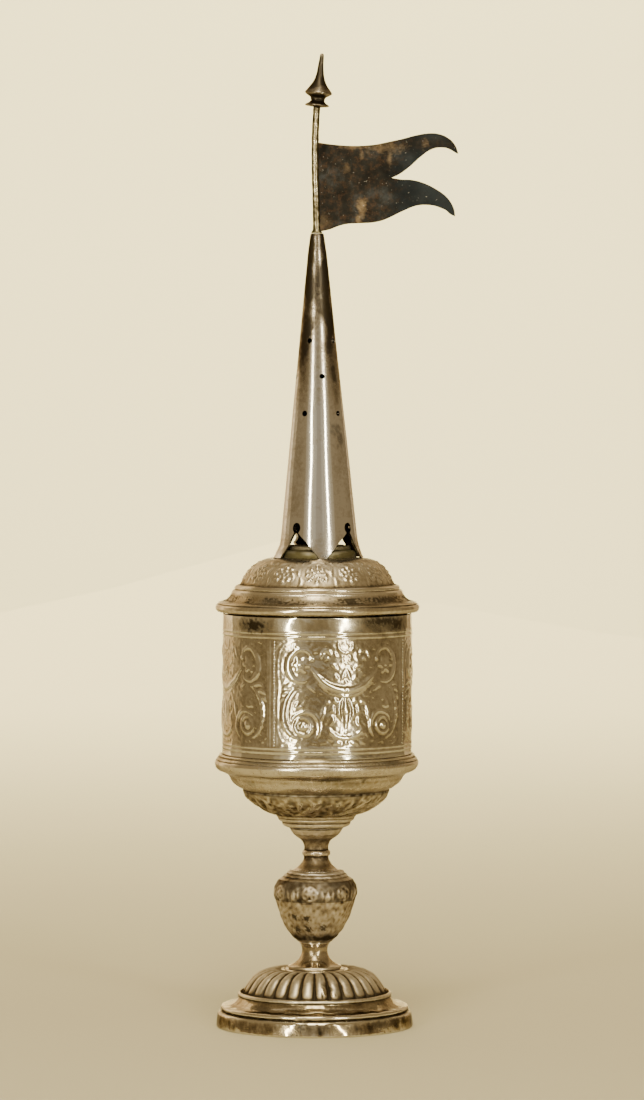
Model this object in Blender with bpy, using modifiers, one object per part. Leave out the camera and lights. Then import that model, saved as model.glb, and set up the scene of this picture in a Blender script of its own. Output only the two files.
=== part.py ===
# Silver spice tower: footed stem, drum-shaped box with a lift-off lid, pierced spire and pennant.
# Metres, +Z up. The front faces -Y and the pennant flies towards +X.
# Angles of the ornament are in degrees from the front, growing towards +X.

import math

import bmesh
import bpy

# Clearance between neighbouring pieces
GAP = 0.0003

# Foot: hollow, with a plain base band and a lobed dome
FOOT_R = 0.0241
FOOT_H = 0.0141
FOOT_BAND_H = 0.0036
FOOT_LIP = 0.0022
FOOT_WALL = 0.0011
LOBE_DOME_R = 0.0184
LOBE_DOME_Z = 0.0083
LOBE_COUNT = 30
LOBE_DEPTH = 0.0009
FOOT_COLLAR_R = 0.0068
FOOT_COLLAR_H = 0.0007

# Stem collar: the trumpet between foot and knop
COLLAR_H = 0.0063
COLLAR_THROAT_R = 0.0031
COLLAR_TOP_R = 0.0039

# Knop: urn-shaped bulb with flowers above and leaves below
KNOP_R = 0.01025
KNOP_H = 0.0173
KNOP_SHOULDER_R = 0.0066
KNOP_FLOWERS = 7
KNOP_RELIEF = 0.0008

# Neck: waist with a ring, opening into a small cup under the bowl
NECK_H = 0.0104
NECK_R = 0.0030
NECK_RING_OUT = 0.00045
NECK_CUP_R = 0.0067

# Bowl: the rounded bottom of the spice box, with the lower flange
BOWL_H = 0.0181
BOWL_WALL = 0.0011
BOWL_BULGE_R = 0.0183
BOWL_BULGE_H = 0.0089
BOWL_STEP_R = 0.0101
BOWL_STEP_H = 0.0029
BOWL_LEAVES = 8
BOWL_RELIEF = 0.0009

# Drum: the side wall of the spice box, with four panels of scrolls
DRUM_R = 0.02335
DRUM_H = 0.0344
DRUM_WALL = 0.0009
FLANGE_OUT = 0.00195
FLANGE_H = 0.0044
PANELS = 4
PANEL_TURN = 17.5
PANEL_LOW = 0.0022
PANEL_H = 0.0277
STROKE_R = 0.0006
STROKE_LIFT = 0.0001

# Lid: hollow dome that lifts off, with a bezel inside the drum's mouth
LID_H = 0.0132
LID_WALL = 0.0009
LID_DOME_R = 0.0204
LID_SHOULDER_R = 0.0131
LID_BEZEL_H = 0.0036
LID_COLLAR_H = 0.0032

# Spire: hollow cone with four keyhole openings and rows of pierced holes
SPIRE_H = 0.0796
SPIRE_FOOT_R = 0.0111
SPIRE_WAIST_R = 0.0095
SPIRE_WAIST_Z = 0.0045
SPIRE_TOP_R = 0.00165
SPIRE_WALL = 0.0008
TONGUE_TURN = 7.0
TONGUE_TIP_W = 0.0036
KEYHOLE_R = 0.00095
KEYHOLE_Z = 0.0075
KEYHOLE_NECK = 0.00035
PIERCED_R = 0.0007
PIERCED_ROWS = 3
PIERCED_TURN = 12.0
PIERCED_SPREAD = 40.0
PIERCED_LOW_Z = 0.0355
PIERCED_STEP = 0.0089

# Rod, pennant and finial
ROD_R = 0.00085
ROD_BOW = 0.0005
ROD_ABOVE_PENNANT = 0.0086
PENNANT_REACH = 0.0349
PENNANT_HOIST = 0.0217
PENNANT_THICK = 0.0006
FINIAL_H = 0.0133
FINIAL_DISC_R = 0.0033
FINIAL_TILT = 5.3

# Heights of the pieces' bases, stacked with a clearance at every joint
COLLAR_Z = FOOT_H + GAP
KNOP_Z = COLLAR_Z + COLLAR_H + GAP
NECK_Z = KNOP_Z + KNOP_H + GAP
BOWL_Z = NECK_Z + NECK_H + GAP
DRUM_Z = BOWL_Z + BOWL_H + GAP
LID_Z = DRUM_Z + DRUM_H + GAP
SPIRE_Z = LID_Z + LID_H + GAP
ROD_Z = SPIRE_Z + SPIRE_H + GAP
ROD_H = GAP + PENNANT_HOIST + ROD_ABOVE_PENNANT
FINIAL_Z = ROD_Z + ROD_H + GAP

# The origin is under the middle of the whole outline, so the tower's axis stands left of it
FLANGE_R = DRUM_R + FLANGE_OUT
AXIS_X = (max(FLANGE_R, FOOT_R) - PENNANT_REACH) / 2

# Facets round each turned piece
FOOT_SIDES = 2 * LOBE_COUNT
BODY_SIDES = 36
KNOP_SIDES = 4 * KNOP_FLOWERS
STEM_SIDES = 20
SPIRE_SIDES = 24
FINIAL_SIDES = 10


def clear_scene():
    for obj in list(bpy.data.objects):
        bpy.data.objects.remove(obj, do_unlink=True)


def make_collection(name):
    collection = bpy.data.collections.new(name)
    bpy.context.scene.collection.children.link(collection)
    return collection


def metal(name, color, roughness):
    material = bpy.data.materials.new(name)
    material.use_nodes = True
    shader = material.node_tree.nodes["Principled BSDF"]
    shader.inputs["Base Color"].default_value = (*color, 1.0)
    shader.inputs["Metallic"].default_value = 1.0
    shader.inputs["Roughness"].default_value = roughness
    return material


def mix(a, b, share):
    return a + (b - a) * share


def outline(start, *spans):
    """Points of a turned profile. Each span (radius, height, bow, steps) runs to its point,
    bowed from its chord by that distance: outwards, where the profile runs down its outer side."""
    points = [start]
    for radius, height, bow, steps in spans:
        r0, z0 = points[-1]
        length = math.hypot(radius - r0, height - z0)
        out_r = (z0 - height) / length
        out_z = (radius - r0) / length
        for step in range(1, steps + 1):
            share = step / steps
            lift = 4 * bow * share * (1 - share)
            points.append((mix(r0, radius, share) + out_r * lift, mix(z0, height, share) + out_z * lift))
    return points


def turned(name, profile, sides, closed=False):
    """A profile turned about the Z axis. A closed profile makes a ring."""
    mesh = bpy.data.meshes.new(name)
    edges = [(i, i + 1) for i in range(len(profile) - 1)]
    if closed:
        edges.append((len(profile) - 1, 0))
    mesh.from_pydata([(r, 0.0, z) for r, z in profile], edges, [])
    obj = bpy.data.objects.new(name, mesh)
    screw = obj.modifiers.new("turn", "SCREW")
    screw.steps = sides
    screw.render_steps = sides
    screw.use_merge_vertices = True
    screw.merge_threshold = 0.00001
    return obj


def as_mesh(obj):
    """The mesh object that obj's modifiers or bevel show, with loose caps welded."""
    bpy.context.scene.collection.objects.link(obj)
    bpy.context.view_layer.update()
    shown = obj.evaluated_get(bpy.context.evaluated_depsgraph_get())
    mesh = bpy.data.meshes.new_from_object(shown)
    made = bpy.data.objects.new(obj.name + "_mesh", mesh)
    made.matrix_world = obj.matrix_world.copy()
    name = obj.name
    bpy.data.objects.remove(obj, do_unlink=True)
    made.name = name
    bm = bmesh.new()
    bm.from_mesh(mesh)
    bmesh.ops.remove_doubles(bm, verts=bm.verts, dist=0.000005)
    bmesh.ops.recalc_face_normals(bm, faces=bm.faces)
    bm.to_mesh(mesh)
    bm.free()
    return made


def cut(obj, cutters, operation="DIFFERENCE"):
    """Cuts a mesh object by a collection of cutters, or joins it to them."""
    boolean = obj.modifiers.new("cut", "BOOLEAN")
    boolean.operation = operation
    boolean.operand_type = "COLLECTION"
    boolean.collection = cutters
    boolean.solver = "EXACT"


def place_cutter(obj, collection, axis):
    obj.parent = axis
    obj.hide_render = True
    obj.display_type = "WIRE"
    collection.objects.link(obj)


def carve(obj, relief):
    """Moves each point off the axis away from it by relief(angle, radius, height)."""
    for vertex in obj.data.vertices:
        radius = math.hypot(vertex.co.x, vertex.co.y)
        if radius > GAP:
            angle = math.atan2(vertex.co.x, -vertex.co.y)
            grown = 1 + relief(angle, radius, vertex.co.z) / radius
            vertex.co.x *= grown
            vertex.co.y *= grown


def hump(value, low, high):
    """0 outside low to high, and 1 midway between them."""
    if not low < value < high:
        return 0.0
    return math.sin(math.pi * (value - low) / (high - low))


def foot_body():
    """The foot's outer skin, closed flat below, with its lobes."""
    ring_r = mix(LOBE_DOME_R, FOOT_R, 0.82)
    ring_z = mix(FOOT_BAND_H, LOBE_DOME_Z, 0.28)
    dome_top = FOOT_H - FOOT_COLLAR_H
    profile = outline(
        (0.0, FOOT_H),
        (FOOT_COLLAR_R, FOOT_H, 0.0, 1),
        (FOOT_COLLAR_R, dome_top, 0.0, 1),
        (LOBE_DOME_R, LOBE_DOME_Z, 0.0024, 4),
        (mix(LOBE_DOME_R, FOOT_R, 0.12), mix(LOBE_DOME_Z, FOOT_BAND_H, 0.16), 0.0, 1),
        (mix(LOBE_DOME_R, FOOT_R, 0.30), mix(LOBE_DOME_Z, FOOT_BAND_H, 0.48), 0.0, 1),
        (mix(LOBE_DOME_R, FOOT_R, 0.66), mix(LOBE_DOME_Z, FOOT_BAND_H, 0.68), 0.0, 1),
        (ring_r, ring_z, 0.0, 1),
        (ring_r - GAP, FOOT_BAND_H + GAP, 0.0, 1),
        (FOOT_R, FOOT_BAND_H - GAP, 0.0, 1),
        (FOOT_R, 0.0, 0.0, 1),
        (0.0, 0.0, 0.0, 1),
    )
    body = as_mesh(turned("foot", profile, FOOT_SIDES))

    def lobes(angle, radius, height):
        on_dome = FOOT_COLLAR_R * 1.02 < radius < LOBE_DOME_R * 1.04 and height > LOBE_DOME_Z - GAP
        valley = 0.5 + 0.5 * math.cos(LOBE_COUNT * angle)
        return -LOBE_DEPTH * valley * on_dome

    carve(body, lobes)
    return body


def foot_hollow():
    """The space under the foot, open below."""
    rim_in = FOOT_R - FOOT_LIP
    return turned("foot_hollow", outline(
        (0.0, FOOT_H - FOOT_WALL),
        (FOOT_COLLAR_R, FOOT_H - FOOT_COLLAR_H - FOOT_WALL, 0.0, 1),
        (LOBE_DOME_R - FOOT_WALL, LOBE_DOME_Z - FOOT_WALL, 0.0019, 3),
        (rim_in, FOOT_BAND_H - FOOT_WALL, 0.0, 1),
        (rim_in, -FOOT_WALL, 0.0, 1),
        (0.0, -FOOT_WALL, 0.0, 1),
    ), LOBE_COUNT)


def stem_collar():
    foot_r = FOOT_COLLAR_R - GAP
    return turned("stem_collar", outline(
        (0.0, COLLAR_H),
        (COLLAR_TOP_R, COLLAR_H, 0.0, 1),
        (COLLAR_THROAT_R, COLLAR_H * 0.66, -0.0001, 2),
        (foot_r * 0.955, COLLAR_H * 0.1, -0.0007, 4),
        (foot_r, 0.0, 0.0, 1),
        (0.0, 0.0, 0.0, 1),
    ), STEM_SIDES)


def knop():
    body = as_mesh(turned("knop", outline(
        (0.0, KNOP_H),
        (KNOP_SHOULDER_R, KNOP_H, 0.0, 1),
        (KNOP_R, KNOP_H * 0.72, 0.0007, 4),
        (COLLAR_TOP_R + GAP, 0.0, 0.00095, 7),
        (0.0, 0.0, 0.0, 1),
    ), KNOP_SIDES))

    def relief(angle, radius, height):
        flowers = math.cos(KNOP_FLOWERS * (angle + math.radians(8)))
        leaves = 2 * abs(math.sin(KNOP_FLOWERS * angle)) - 1
        grown = flowers * hump(height, KNOP_H * 0.62, KNOP_H * 0.88)
        grown += leaves * hump(height, -KNOP_H * 0.1, KNOP_H * 0.42)
        return KNOP_RELIEF * grown / 2

    carve(body, relief)
    return body


def neck():
    ring_z = NECK_H * 0.41
    ring_half = NECK_R * 0.2
    return turned("neck", outline(
        (0.0, NECK_H),
        (NECK_CUP_R, NECK_H, 0.0, 1),
        (NECK_R, NECK_H * 0.56, -0.00025, 4),
        (NECK_R, ring_z + ring_half, 0.0, 1),
        (NECK_R, ring_z - ring_half, NECK_RING_OUT, 2),
        (KNOP_SHOULDER_R * 0.88, 0.0, -0.0005, 3),
        (0.0, 0.0, 0.0, 1),
    ), STEM_SIDES)


def bowl_body():
    """The bowl's outer skin, closed flat above, with its leaves."""
    flange_low = BOWL_H - FLANGE_H
    body = as_mesh(turned("bowl", outline(
        (0.0, BOWL_H),
        (DRUM_R + GAP, BOWL_H, 0.0, 1),
        (FLANGE_R, BOWL_H - FLANGE_H / 2, 0.0004, 2),
        (DRUM_R - GAP, flange_low, 0.0005, 2),
        (mix(BOWL_BULGE_R, DRUM_R, 0.65), flange_low - FLANGE_H * 0.2, -0.0002, 1),
        (BOWL_BULGE_R + GAP, BOWL_BULGE_H + GAP * 2, 0.0005, 2),
        (BOWL_BULGE_R, BOWL_BULGE_H, 0.0, 1),
        (BOWL_STEP_R, BOWL_STEP_H, 0.00115, 4),
        (BOWL_STEP_R * 0.9, BOWL_STEP_H * 0.65, 0.0, 1),
        (NECK_CUP_R + GAP, 0.0, 0.0001, 2),
        (0.0, 0.0, 0.0, 1),
    ), BODY_SIDES))

    def leaves(angle, radius, height):
        wave = math.cos(BOWL_LEAVES * (angle - math.radians(PANEL_TURN)))
        return BOWL_RELIEF * wave / 2 * hump(height, BOWL_STEP_H, BOWL_BULGE_H)

    carve(body, leaves)
    return body


def bowl_hollow():
    """The bottom of the spice chamber."""
    mouth_r = DRUM_R - DRUM_WALL
    return turned("bowl_hollow", outline(
        (0.0, BOWL_H + BOWL_WALL),
        (mouth_r, BOWL_H + BOWL_WALL, 0.0, 1),
        (mouth_r, BOWL_H - FLANGE_H * 0.9, 0.0, 1),
        (BOWL_BULGE_R - BOWL_WALL, BOWL_BULGE_H, 0.0003, 2),
        (BOWL_STEP_R - BOWL_WALL * 0.5, BOWL_STEP_H + BOWL_WALL, 0.0008, 3),
        (0.0, BOWL_STEP_H + BOWL_WALL * 0.8, 0.0, 1),
    ), BODY_SIDES // 2)


def drum_body():
    inner_r = DRUM_R - DRUM_WALL
    ring = [(DRUM_R, DRUM_H), (DRUM_R, 0.0), (inner_r, 0.0), (inner_r, DRUM_H)]
    return turned("drum", ring, BODY_SIDES, closed=True)


def on_drum(along, height, lift=0.0):
    """The point of the drum's skin that lies that far along its girth from the front."""
    angle = along / DRUM_R
    radius = DRUM_R + lift
    return (radius * math.sin(angle), -radius * math.cos(angle), height)


def arc(centre, reach, start, end, steps, shrink=1.0):
    """Points along an elliptical arc on the unrolled drum, drawn in towards its centre by shrink."""
    points = []
    for step in range(steps + 1):
        share = step / steps
        turn = math.radians(mix(start, end, share))
        size = mix(1.0, shrink, share)
        across = centre[0] + reach[0] * size * math.cos(turn)
        points.append((across, centre[1] + reach[1] * size * math.sin(turn)))
    return points


def stroke(name, points, centre, radius=STROKE_R):
    """A raised line on the drum through points of a panel, given in shares of the panel's half width
    and of its height."""
    curve = bpy.data.curves.new(name, "CURVE")
    curve.dimensions = "3D"
    curve.bevel_depth = radius
    curve.bevel_resolution = 0
    curve.use_fill_caps = True
    spline = curve.splines.new("POLY")
    spline.points.add(len(points) - 1)
    half = math.pi * DRUM_R / PANELS
    for point, (across, up) in zip(spline.points, points):
        point.co = (*on_drum(centre + across * half, PANEL_LOW + up * PANEL_H, STROKE_LIFT), 1.0)
    return as_mesh(bpy.data.objects.new(name, curve))


def boss(name, across, up, width, height, centre):
    """A raised oval on the drum, for a flower or a shell."""
    mesh = bpy.data.meshes.new(name)
    bm = bmesh.new()
    bmesh.ops.create_cone(bm, cap_ends=True, segments=6, radius1=0.5, radius2=0.0, depth=1.0)
    bmesh.ops.scale(bm, vec=(width, height, STROKE_R * 2.4), verts=bm.verts)
    bm.to_mesh(mesh)
    bm.free()
    obj = bpy.data.objects.new(name, mesh)
    along = centre + across * math.pi * DRUM_R / PANELS
    obj.location = on_drum(along, PANEL_LOW + up * PANEL_H, STROKE_R * 0.6)
    obj.rotation_euler = (math.radians(90), 0.0, along / DRUM_R)
    return obj


def panel_ornament(number):
    """The scrolls of one panel: a pair each side, a swag and a shell between, and a border line."""
    centre = math.radians(PANEL_TURN + number * 360 / PANELS) * DRUM_R
    swag = [(across, 0.50 + 1.05 * across * across) for across in (-0.46, -0.26, 0.0, 0.26, 0.46)]
    made = [
        stroke("swag", swag, centre),
        stroke("cup", arc((0.0, 0.93), (0.10, 0.07), 180, 360, 3), centre, STROKE_R * 0.8),
        stroke("fold", [(-0.22, 0.21), (0.0, 0.11), (0.22, 0.21)], centre, STROKE_R * 0.8),
        stroke("border", [(1.0, 0.02), (1.0, 0.98)], centre),
        boss("shell", 0.0, 0.33, 0.0028, 0.0060, centre),
        boss("palmette", 0.0, 0.68, 0.0022, 0.0042, centre),
    ]
    upper = arc((-0.60, 0.74), (0.19, 0.13), 55, 305, 5)
    lower = arc((-0.60, 0.33), (0.23, 0.24), 100, 240, 4)
    volute = arc((-0.56, 0.21), (0.15, 0.12), 255, 500, 4, 0.5)
    leaf = [(-0.27, 0.41), (-0.36, 0.28), (-0.37, 0.17), (-0.42, 0.06)]
    for side in (-1, 1):
        for name, points in (("upper_scroll", upper), ("lower_scroll", lower + volute), ("leaf", leaf)):
            made.append(stroke(name, [(-side * across, up) for across, up in points], centre))
        made.append(boss("flower", side * -0.60, 0.74, 0.0026, 0.0028, centre))
    return made


def lid():
    """Dome and flange in one shell, with the bezel below and the stepped collar on top."""
    bezel_r = DRUM_R - DRUM_WALL - GAP
    collar_step = LID_COLLAR_H * 0.66
    collar_r = mix(SPIRE_FOOT_R, SPIRE_WAIST_R, collar_step / SPIRE_WAIST_Z) - SPIRE_WALL - GAP * 1.5
    shoulder_in = LID_SHOULDER_R - LID_WALL
    cove_z = LID_H * 0.42
    return turned("lid", outline(
        (0.0, LID_H + LID_COLLAR_H),
        (collar_r * 0.82, LID_H + LID_COLLAR_H, 0.0, 1),
        (collar_r * 0.82, LID_H + collar_step, 0.0, 1),
        (collar_r, LID_H + collar_step, 0.0, 1),
        (collar_r, LID_H, 0.0, 1),
        (LID_SHOULDER_R, LID_H - GAP, 0.0, 1),
        (LID_DOME_R * 0.936, cove_z + LID_WALL, 0.0014, 3),
        (LID_DOME_R, cove_z + GAP, 0.0, 1),
        (FLANGE_R * 0.972, FLANGE_H * 0.54, -0.0009, 2),
        (FLANGE_R * 0.972, 0.0, 0.0007, 2),
        (bezel_r, 0.0, 0.0, 1),
        (bezel_r, -LID_BEZEL_H, 0.0, 1),
        (bezel_r - LID_WALL, -LID_BEZEL_H, 0.0, 1),
        (bezel_r - LID_WALL, LID_H * 0.14, 0.0, 1),
        (LID_DOME_R - LID_WALL * 2, cove_z, 0.0, 1),
        (shoulder_in, LID_H - LID_WALL - GAP, -0.0010, 2),
        (0.0, LID_H - LID_WALL, 0.0, 1),
    ), BODY_SIDES)


def spire_body():
    """Cone flaring at its foot, hollow and open below."""
    top_in = SPIRE_TOP_R - SPIRE_WALL
    return turned("spire", outline(
        (0.0, SPIRE_H),
        (SPIRE_TOP_R, SPIRE_H, 0.0, 1),
        (SPIRE_WAIST_R, SPIRE_WAIST_Z, 0.0, 2),
        (SPIRE_FOOT_R, 0.0, -0.0002, 3),
        (SPIRE_FOOT_R - SPIRE_WALL, 0.0, 0.0, 1),
        (SPIRE_WAIST_R - SPIRE_WALL, SPIRE_WAIST_Z, 0.0002, 2),
        (top_in, SPIRE_H - SPIRE_TOP_R, 0.0, 1),
        (0.0, SPIRE_H - SPIRE_TOP_R, 0.0, 1),
    ), SPIRE_SIDES)


def flat_outline(name, points, thickness):
    """A closed flat outline in the XZ plane, standing up and that thick."""
    curve = bpy.data.curves.new(name, "CURVE")
    curve.dimensions = "2D"
    curve.fill_mode = "BOTH"
    curve.extrude = thickness / 2
    spline = curve.splines.new("POLY")
    spline.points.add(len(points) - 1)
    for point, (x, z) in zip(spline.points, points):
        point.co = (x, z, 0.0, 1.0)
    spline.use_cyclic_u = True
    obj = bpy.data.objects.new(name, curve)
    obj.rotation_euler.x = math.radians(90)
    return obj


def keyhole_points():
    """Right half of a keyhole opening, from its round top down its spreading skirt."""
    reach = (SPIRE_FOOT_R * math.pi * 2 / 4 - TONGUE_TIP_W) / 2 * 0.94
    neck_z = KEYHOLE_Z - KEYHOLE_R * 1.5
    round_top = []
    for step in range(6):
        turn = math.radians(mix(90, -50, step / 5))
        round_top.append((KEYHOLE_R * math.cos(turn), KEYHOLE_Z + KEYHOLE_R * math.sin(turn)))
    skirt = [(KEYHOLE_NECK, neck_z)]
    for across, down in ((0.22, 0.08), (0.42, 0.24), (0.56, 0.44), (0.78, 0.66), (0.94, 0.88), (1.0, 1.2)):
        skirt.append((reach * across, neck_z * (1 - down)))
    return round_top + skirt


def spire_cutters():
    """Four keyholes, and rows of round holes that alternate between openings and tongues."""
    right = keyhole_points()
    left = [(-x, z) for x, z in reversed(right[1:])]
    made = []
    for number in range(4):
        angle = math.radians(TONGUE_TURN + 45 + number * 90)
        cutter = flat_outline("keyhole", right + left, SPIRE_FOOT_R)
        cutter.rotation_euler.z = angle
        cutter.location = (SPIRE_FOOT_R * math.sin(angle), -SPIRE_FOOT_R * math.cos(angle), 0.0)
        made.append(as_mesh(cutter))
    for row in range(PIERCED_ROWS):
        for angle in pierced_angles(row):
            made.append(pierced_hole(PIERCED_LOW_Z + row * PIERCED_STEP, math.radians(PIERCED_TURN + angle)))
    return made


def pierced_angles(row):
    """Odd rows have a hole every quarter turn, even rows a pair in front and a pair behind."""
    if row % 2:
        return [quarter * 90 for quarter in range(4)]
    return [half * 180 + side * PIERCED_SPREAD for half in range(2) for side in (-1, 1)]


def pierced_hole(height, angle):
    mesh = bpy.data.meshes.new("pierced_hole")
    bm = bmesh.new()
    size = {"segments": 6, "radius1": PIERCED_R, "radius2": PIERCED_R, "depth": SPIRE_WAIST_R}
    bmesh.ops.create_cone(bm, cap_ends=True, **size)
    bm.to_mesh(mesh)
    bm.free()
    obj = bpy.data.objects.new("pierced_hole", mesh)
    middle = SPIRE_WAIST_R / 2 + PIERCED_R
    obj.location = (middle * math.sin(angle), -middle * math.cos(angle), height)
    obj.rotation_euler = (math.radians(90), 0.0, angle)
    return obj


def rod_x(height):
    """The rod bows away from the pennant between its ends."""
    return -ROD_BOW * math.sin(math.pi * (height / ROD_H) ** 2)


def rod():
    curve = bpy.data.curves.new("rod", "CURVE")
    curve.dimensions = "3D"
    curve.bevel_depth = ROD_R
    curve.bevel_resolution = 2
    curve.use_fill_caps = True
    spline = curve.splines.new("POLY")
    steps = 8
    spline.points.add(steps)
    for step, point in enumerate(spline.points):
        height = ROD_H * step / steps
        point.co = (rod_x(height), 0.0, height, 1.0)
    return bpy.data.objects.new("rod", curve)


def pennant():
    """A swallow-tailed sheet with waving edges, in shares of its reach and of its hoist."""
    free_edge = (
        (0.20, 0.973), (0.40, 0.977), (0.60, 1.051), (0.80, 1.115), (0.93, 1.035), (1.0, 0.89),
        (0.90, 0.968), (0.78, 0.91), (0.65, 0.733), (0.58, 0.645), (0.50, 0.599),
        (0.60, 0.590), (0.70, 0.567), (0.81, 0.475), (0.91, 0.322), (0.97, 0.175),
        (0.90, 0.27), (0.82, 0.318), (0.72, 0.309), (0.61, 0.263), (0.48, 0.157), (0.38, 0.115),
        (0.26, 0.104), (0.15, 0.078), (0.08, 0.03),
    )
    points = [(PENNANT_REACH * across, PENNANT_HOIST * up) for across, up in free_edge]
    hoist_steps = 4
    for step in range(hoist_steps + 1):
        up = PENNANT_HOIST * step / hoist_steps
        points.append((rod_x(up + GAP) + ROD_R + GAP, up))
    return flat_outline("pennant", points, PENNANT_THICK)


def finial():
    """Two discs on a neck, and a point above them."""
    disc_z = FINIAL_H * 0.25
    edge = FINIAL_H * 0.023
    return turned("finial", outline(
        (0.0, FINIAL_H),
        (FINIAL_DISC_R * 0.12, FINIAL_H, 0.0, 1),
        (FINIAL_DISC_R * 0.42, FINIAL_H * 0.56, 0.0, 2),
        (FINIAL_DISC_R, disc_z + edge, -0.0006, 3),
        (FINIAL_DISC_R, disc_z - edge, 0.0001, 1),
        (FINIAL_DISC_R * 0.56, disc_z - edge * 4, 0.0, 1),
        (FINIAL_DISC_R * 0.56, edge * 4, 0.0, 1),
        (FINIAL_DISC_R * 0.88, edge * 2.5, 0.0, 1),
        (FINIAL_DISC_R * 0.88, edge, 0.0, 1),
        (ROD_R * 1.4, 0.0, 0.0, 1),
        (0.0, 0.0, 0.0, 1),
    ), FINIAL_SIDES)


def finish_piece(obj, height, material, collection, axis):
    """Puts a piece on the tower's axis with its material, shaded smooth where it is round."""
    obj.data.materials.append(material)
    obj.location.z = height
    obj.parent = axis
    collection.objects.link(obj)
    if obj.type == "MESH":
        obj.data.shade_smooth()
        obj.data.set_sharp_from_angle(angle=math.radians(35))


def main():
    clear_scene()
    tower = make_collection("spice_tower")
    cutters = make_collection("cutters")
    axis = bpy.data.objects.new("tower_axis", None)
    axis.location.x = AXIS_X
    tower.objects.link(axis)

    silver = metal("silver", (0.66, 0.60, 0.50), 0.28)
    dark_silver = metal("dark_silver", (0.40, 0.34, 0.27), 0.38)
    sooty_silver = metal("sooty_silver", (0.16, 0.13, 0.11), 0.45)

    def cutting(name, makers, height):
        """A collection of cutters whose pieces stand at that height on the axis."""
        collection = bpy.data.collections.new(name)
        cutters.children.link(collection)
        for cutter in makers:
            cutter.location.z += height
            place_cutter(cutter, collection, axis)
        return collection

    foot = foot_body()
    cut(foot, cutting("foot_cutters", [as_mesh(foot_hollow())], 0.0))
    bowl = bowl_body()
    cut(bowl, cutting("bowl_cutters", [as_mesh(bowl_hollow())], BOWL_Z))
    drum = drum_body()
    ornament = [shape for number in range(PANELS) for shape in panel_ornament(number)]
    cut(drum, cutting("drum_ornament", ornament, DRUM_Z), "UNION")
    spire = spire_body()
    cut(spire, cutting("spire_cutters", spire_cutters(), SPIRE_Z))
    tip = finial()
    tip.rotation_euler.y = math.radians(FINIAL_TILT)

    pieces = (
        (foot, 0.0, silver),
        (stem_collar(), COLLAR_Z, silver),
        (knop(), KNOP_Z, dark_silver),
        (neck(), NECK_Z, dark_silver),
        (bowl, BOWL_Z, silver),
        (drum, DRUM_Z, silver),
        (lid(), LID_Z, silver),
        (spire, SPIRE_Z, silver),
        (rod(), ROD_Z, dark_silver),
        (pennant(), ROD_Z + GAP, sooty_silver),
        (tip, FINIAL_Z, dark_silver),
    )
    for obj, height, material in pieces:
        finish_piece(obj, height, material, tower, axis)


main()
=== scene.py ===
# Looks of the silver spice tower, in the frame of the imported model.
# Forms are worked out in millimetres and turned into metres when a mesh is made. Angles are in
# degrees from the front (-Y), growing towards +X.

import math

import bmesh
import bpy
import numpy as np
from mathutils import Euler, Matrix


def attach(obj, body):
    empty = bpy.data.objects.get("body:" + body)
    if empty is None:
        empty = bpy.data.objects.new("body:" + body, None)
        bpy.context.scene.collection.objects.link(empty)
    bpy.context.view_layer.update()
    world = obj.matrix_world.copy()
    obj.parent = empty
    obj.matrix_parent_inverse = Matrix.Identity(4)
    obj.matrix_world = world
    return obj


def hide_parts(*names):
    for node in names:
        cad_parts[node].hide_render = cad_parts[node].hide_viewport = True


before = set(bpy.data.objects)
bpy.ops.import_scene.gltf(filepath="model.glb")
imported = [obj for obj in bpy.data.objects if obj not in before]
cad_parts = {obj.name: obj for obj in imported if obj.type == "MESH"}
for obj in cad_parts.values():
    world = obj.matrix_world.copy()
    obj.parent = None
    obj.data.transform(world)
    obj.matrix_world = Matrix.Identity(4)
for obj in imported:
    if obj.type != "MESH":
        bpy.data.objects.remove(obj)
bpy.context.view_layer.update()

MM = 0.001
AXIS_X = -4.8

# Chased work: the line pressed in beside each raised form
OUTLINE_W = 0.2
OUTLINE_DEPTH = 0.10

# Drum
DRUM_R = 23.35
DRUM_LOW = 67.45
DRUM_TOP = 102.1
DRUM_COLUMNS = 560
PANELS = 4
PANEL_TURN = 17.5
PANEL_LOW = 2.6
PANEL_HIGH = 29.2
BORDER_TURN = -28.2
BEAD_STEP = 0.72

# Repeats round the other pieces
LOBES = 30
KNOP_UNITS = 7
KNOP_TURN = -8.0
KNOP_UNIT_W = 8.8
BOWL_UNITS = 8
BOWL_TURN = -28.0
BOWL_UNIT_W = 11.8
DOME_UNITS = 13
DOME_TURN = -28.0
DOME_UNIT_W = 8.2

# Spire and what stands on it
SPIRE_BASE = 115.85
SPIRE_TOP = 195.5
OPENING_TURN = 52.0
ROD_BASE = 195.6
PENNANT_BASE = 196.1
PENNANT_REACH = 34.85
PENNANT_HOIST = 21.7
FINIAL_BASE = 226.5
FINIAL_LEAN = 5.3


# Smooth lines and noise

def along(points, spacing):
    """Points on a smooth curve through the given ones, about that far apart."""
    given = np.array(points, float)
    steps = np.linalg.norm(np.diff(given, axis=0), axis=1)
    at = np.concatenate([[0.0], np.cumsum(steps)])
    slope = np.gradient(given, at, axis=0)
    want = np.linspace(0, at[-1], math.ceil(at[-1] / spacing) + 1)
    i = np.clip(np.searchsorted(at, want, side="right") - 1, 0, len(steps) - 1)
    reach = steps[i][:, None]
    u = ((want - at[i]) / steps[i])[:, None]
    start = given[i] * (1 + 2 * u) * (1 - u) ** 2 + slope[i] * reach * u * (1 - u) ** 2
    end = given[i + 1] * u ** 2 * (3 - 2 * u) + slope[i + 1] * reach * u ** 2 * (u - 1)
    return start + end


def distances(line):
    """Distance along a line at each of its points, from 0 at the first."""
    return np.concatenate([[0.0], np.cumsum(np.linalg.norm(np.diff(line, axis=0), axis=1))])


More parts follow.
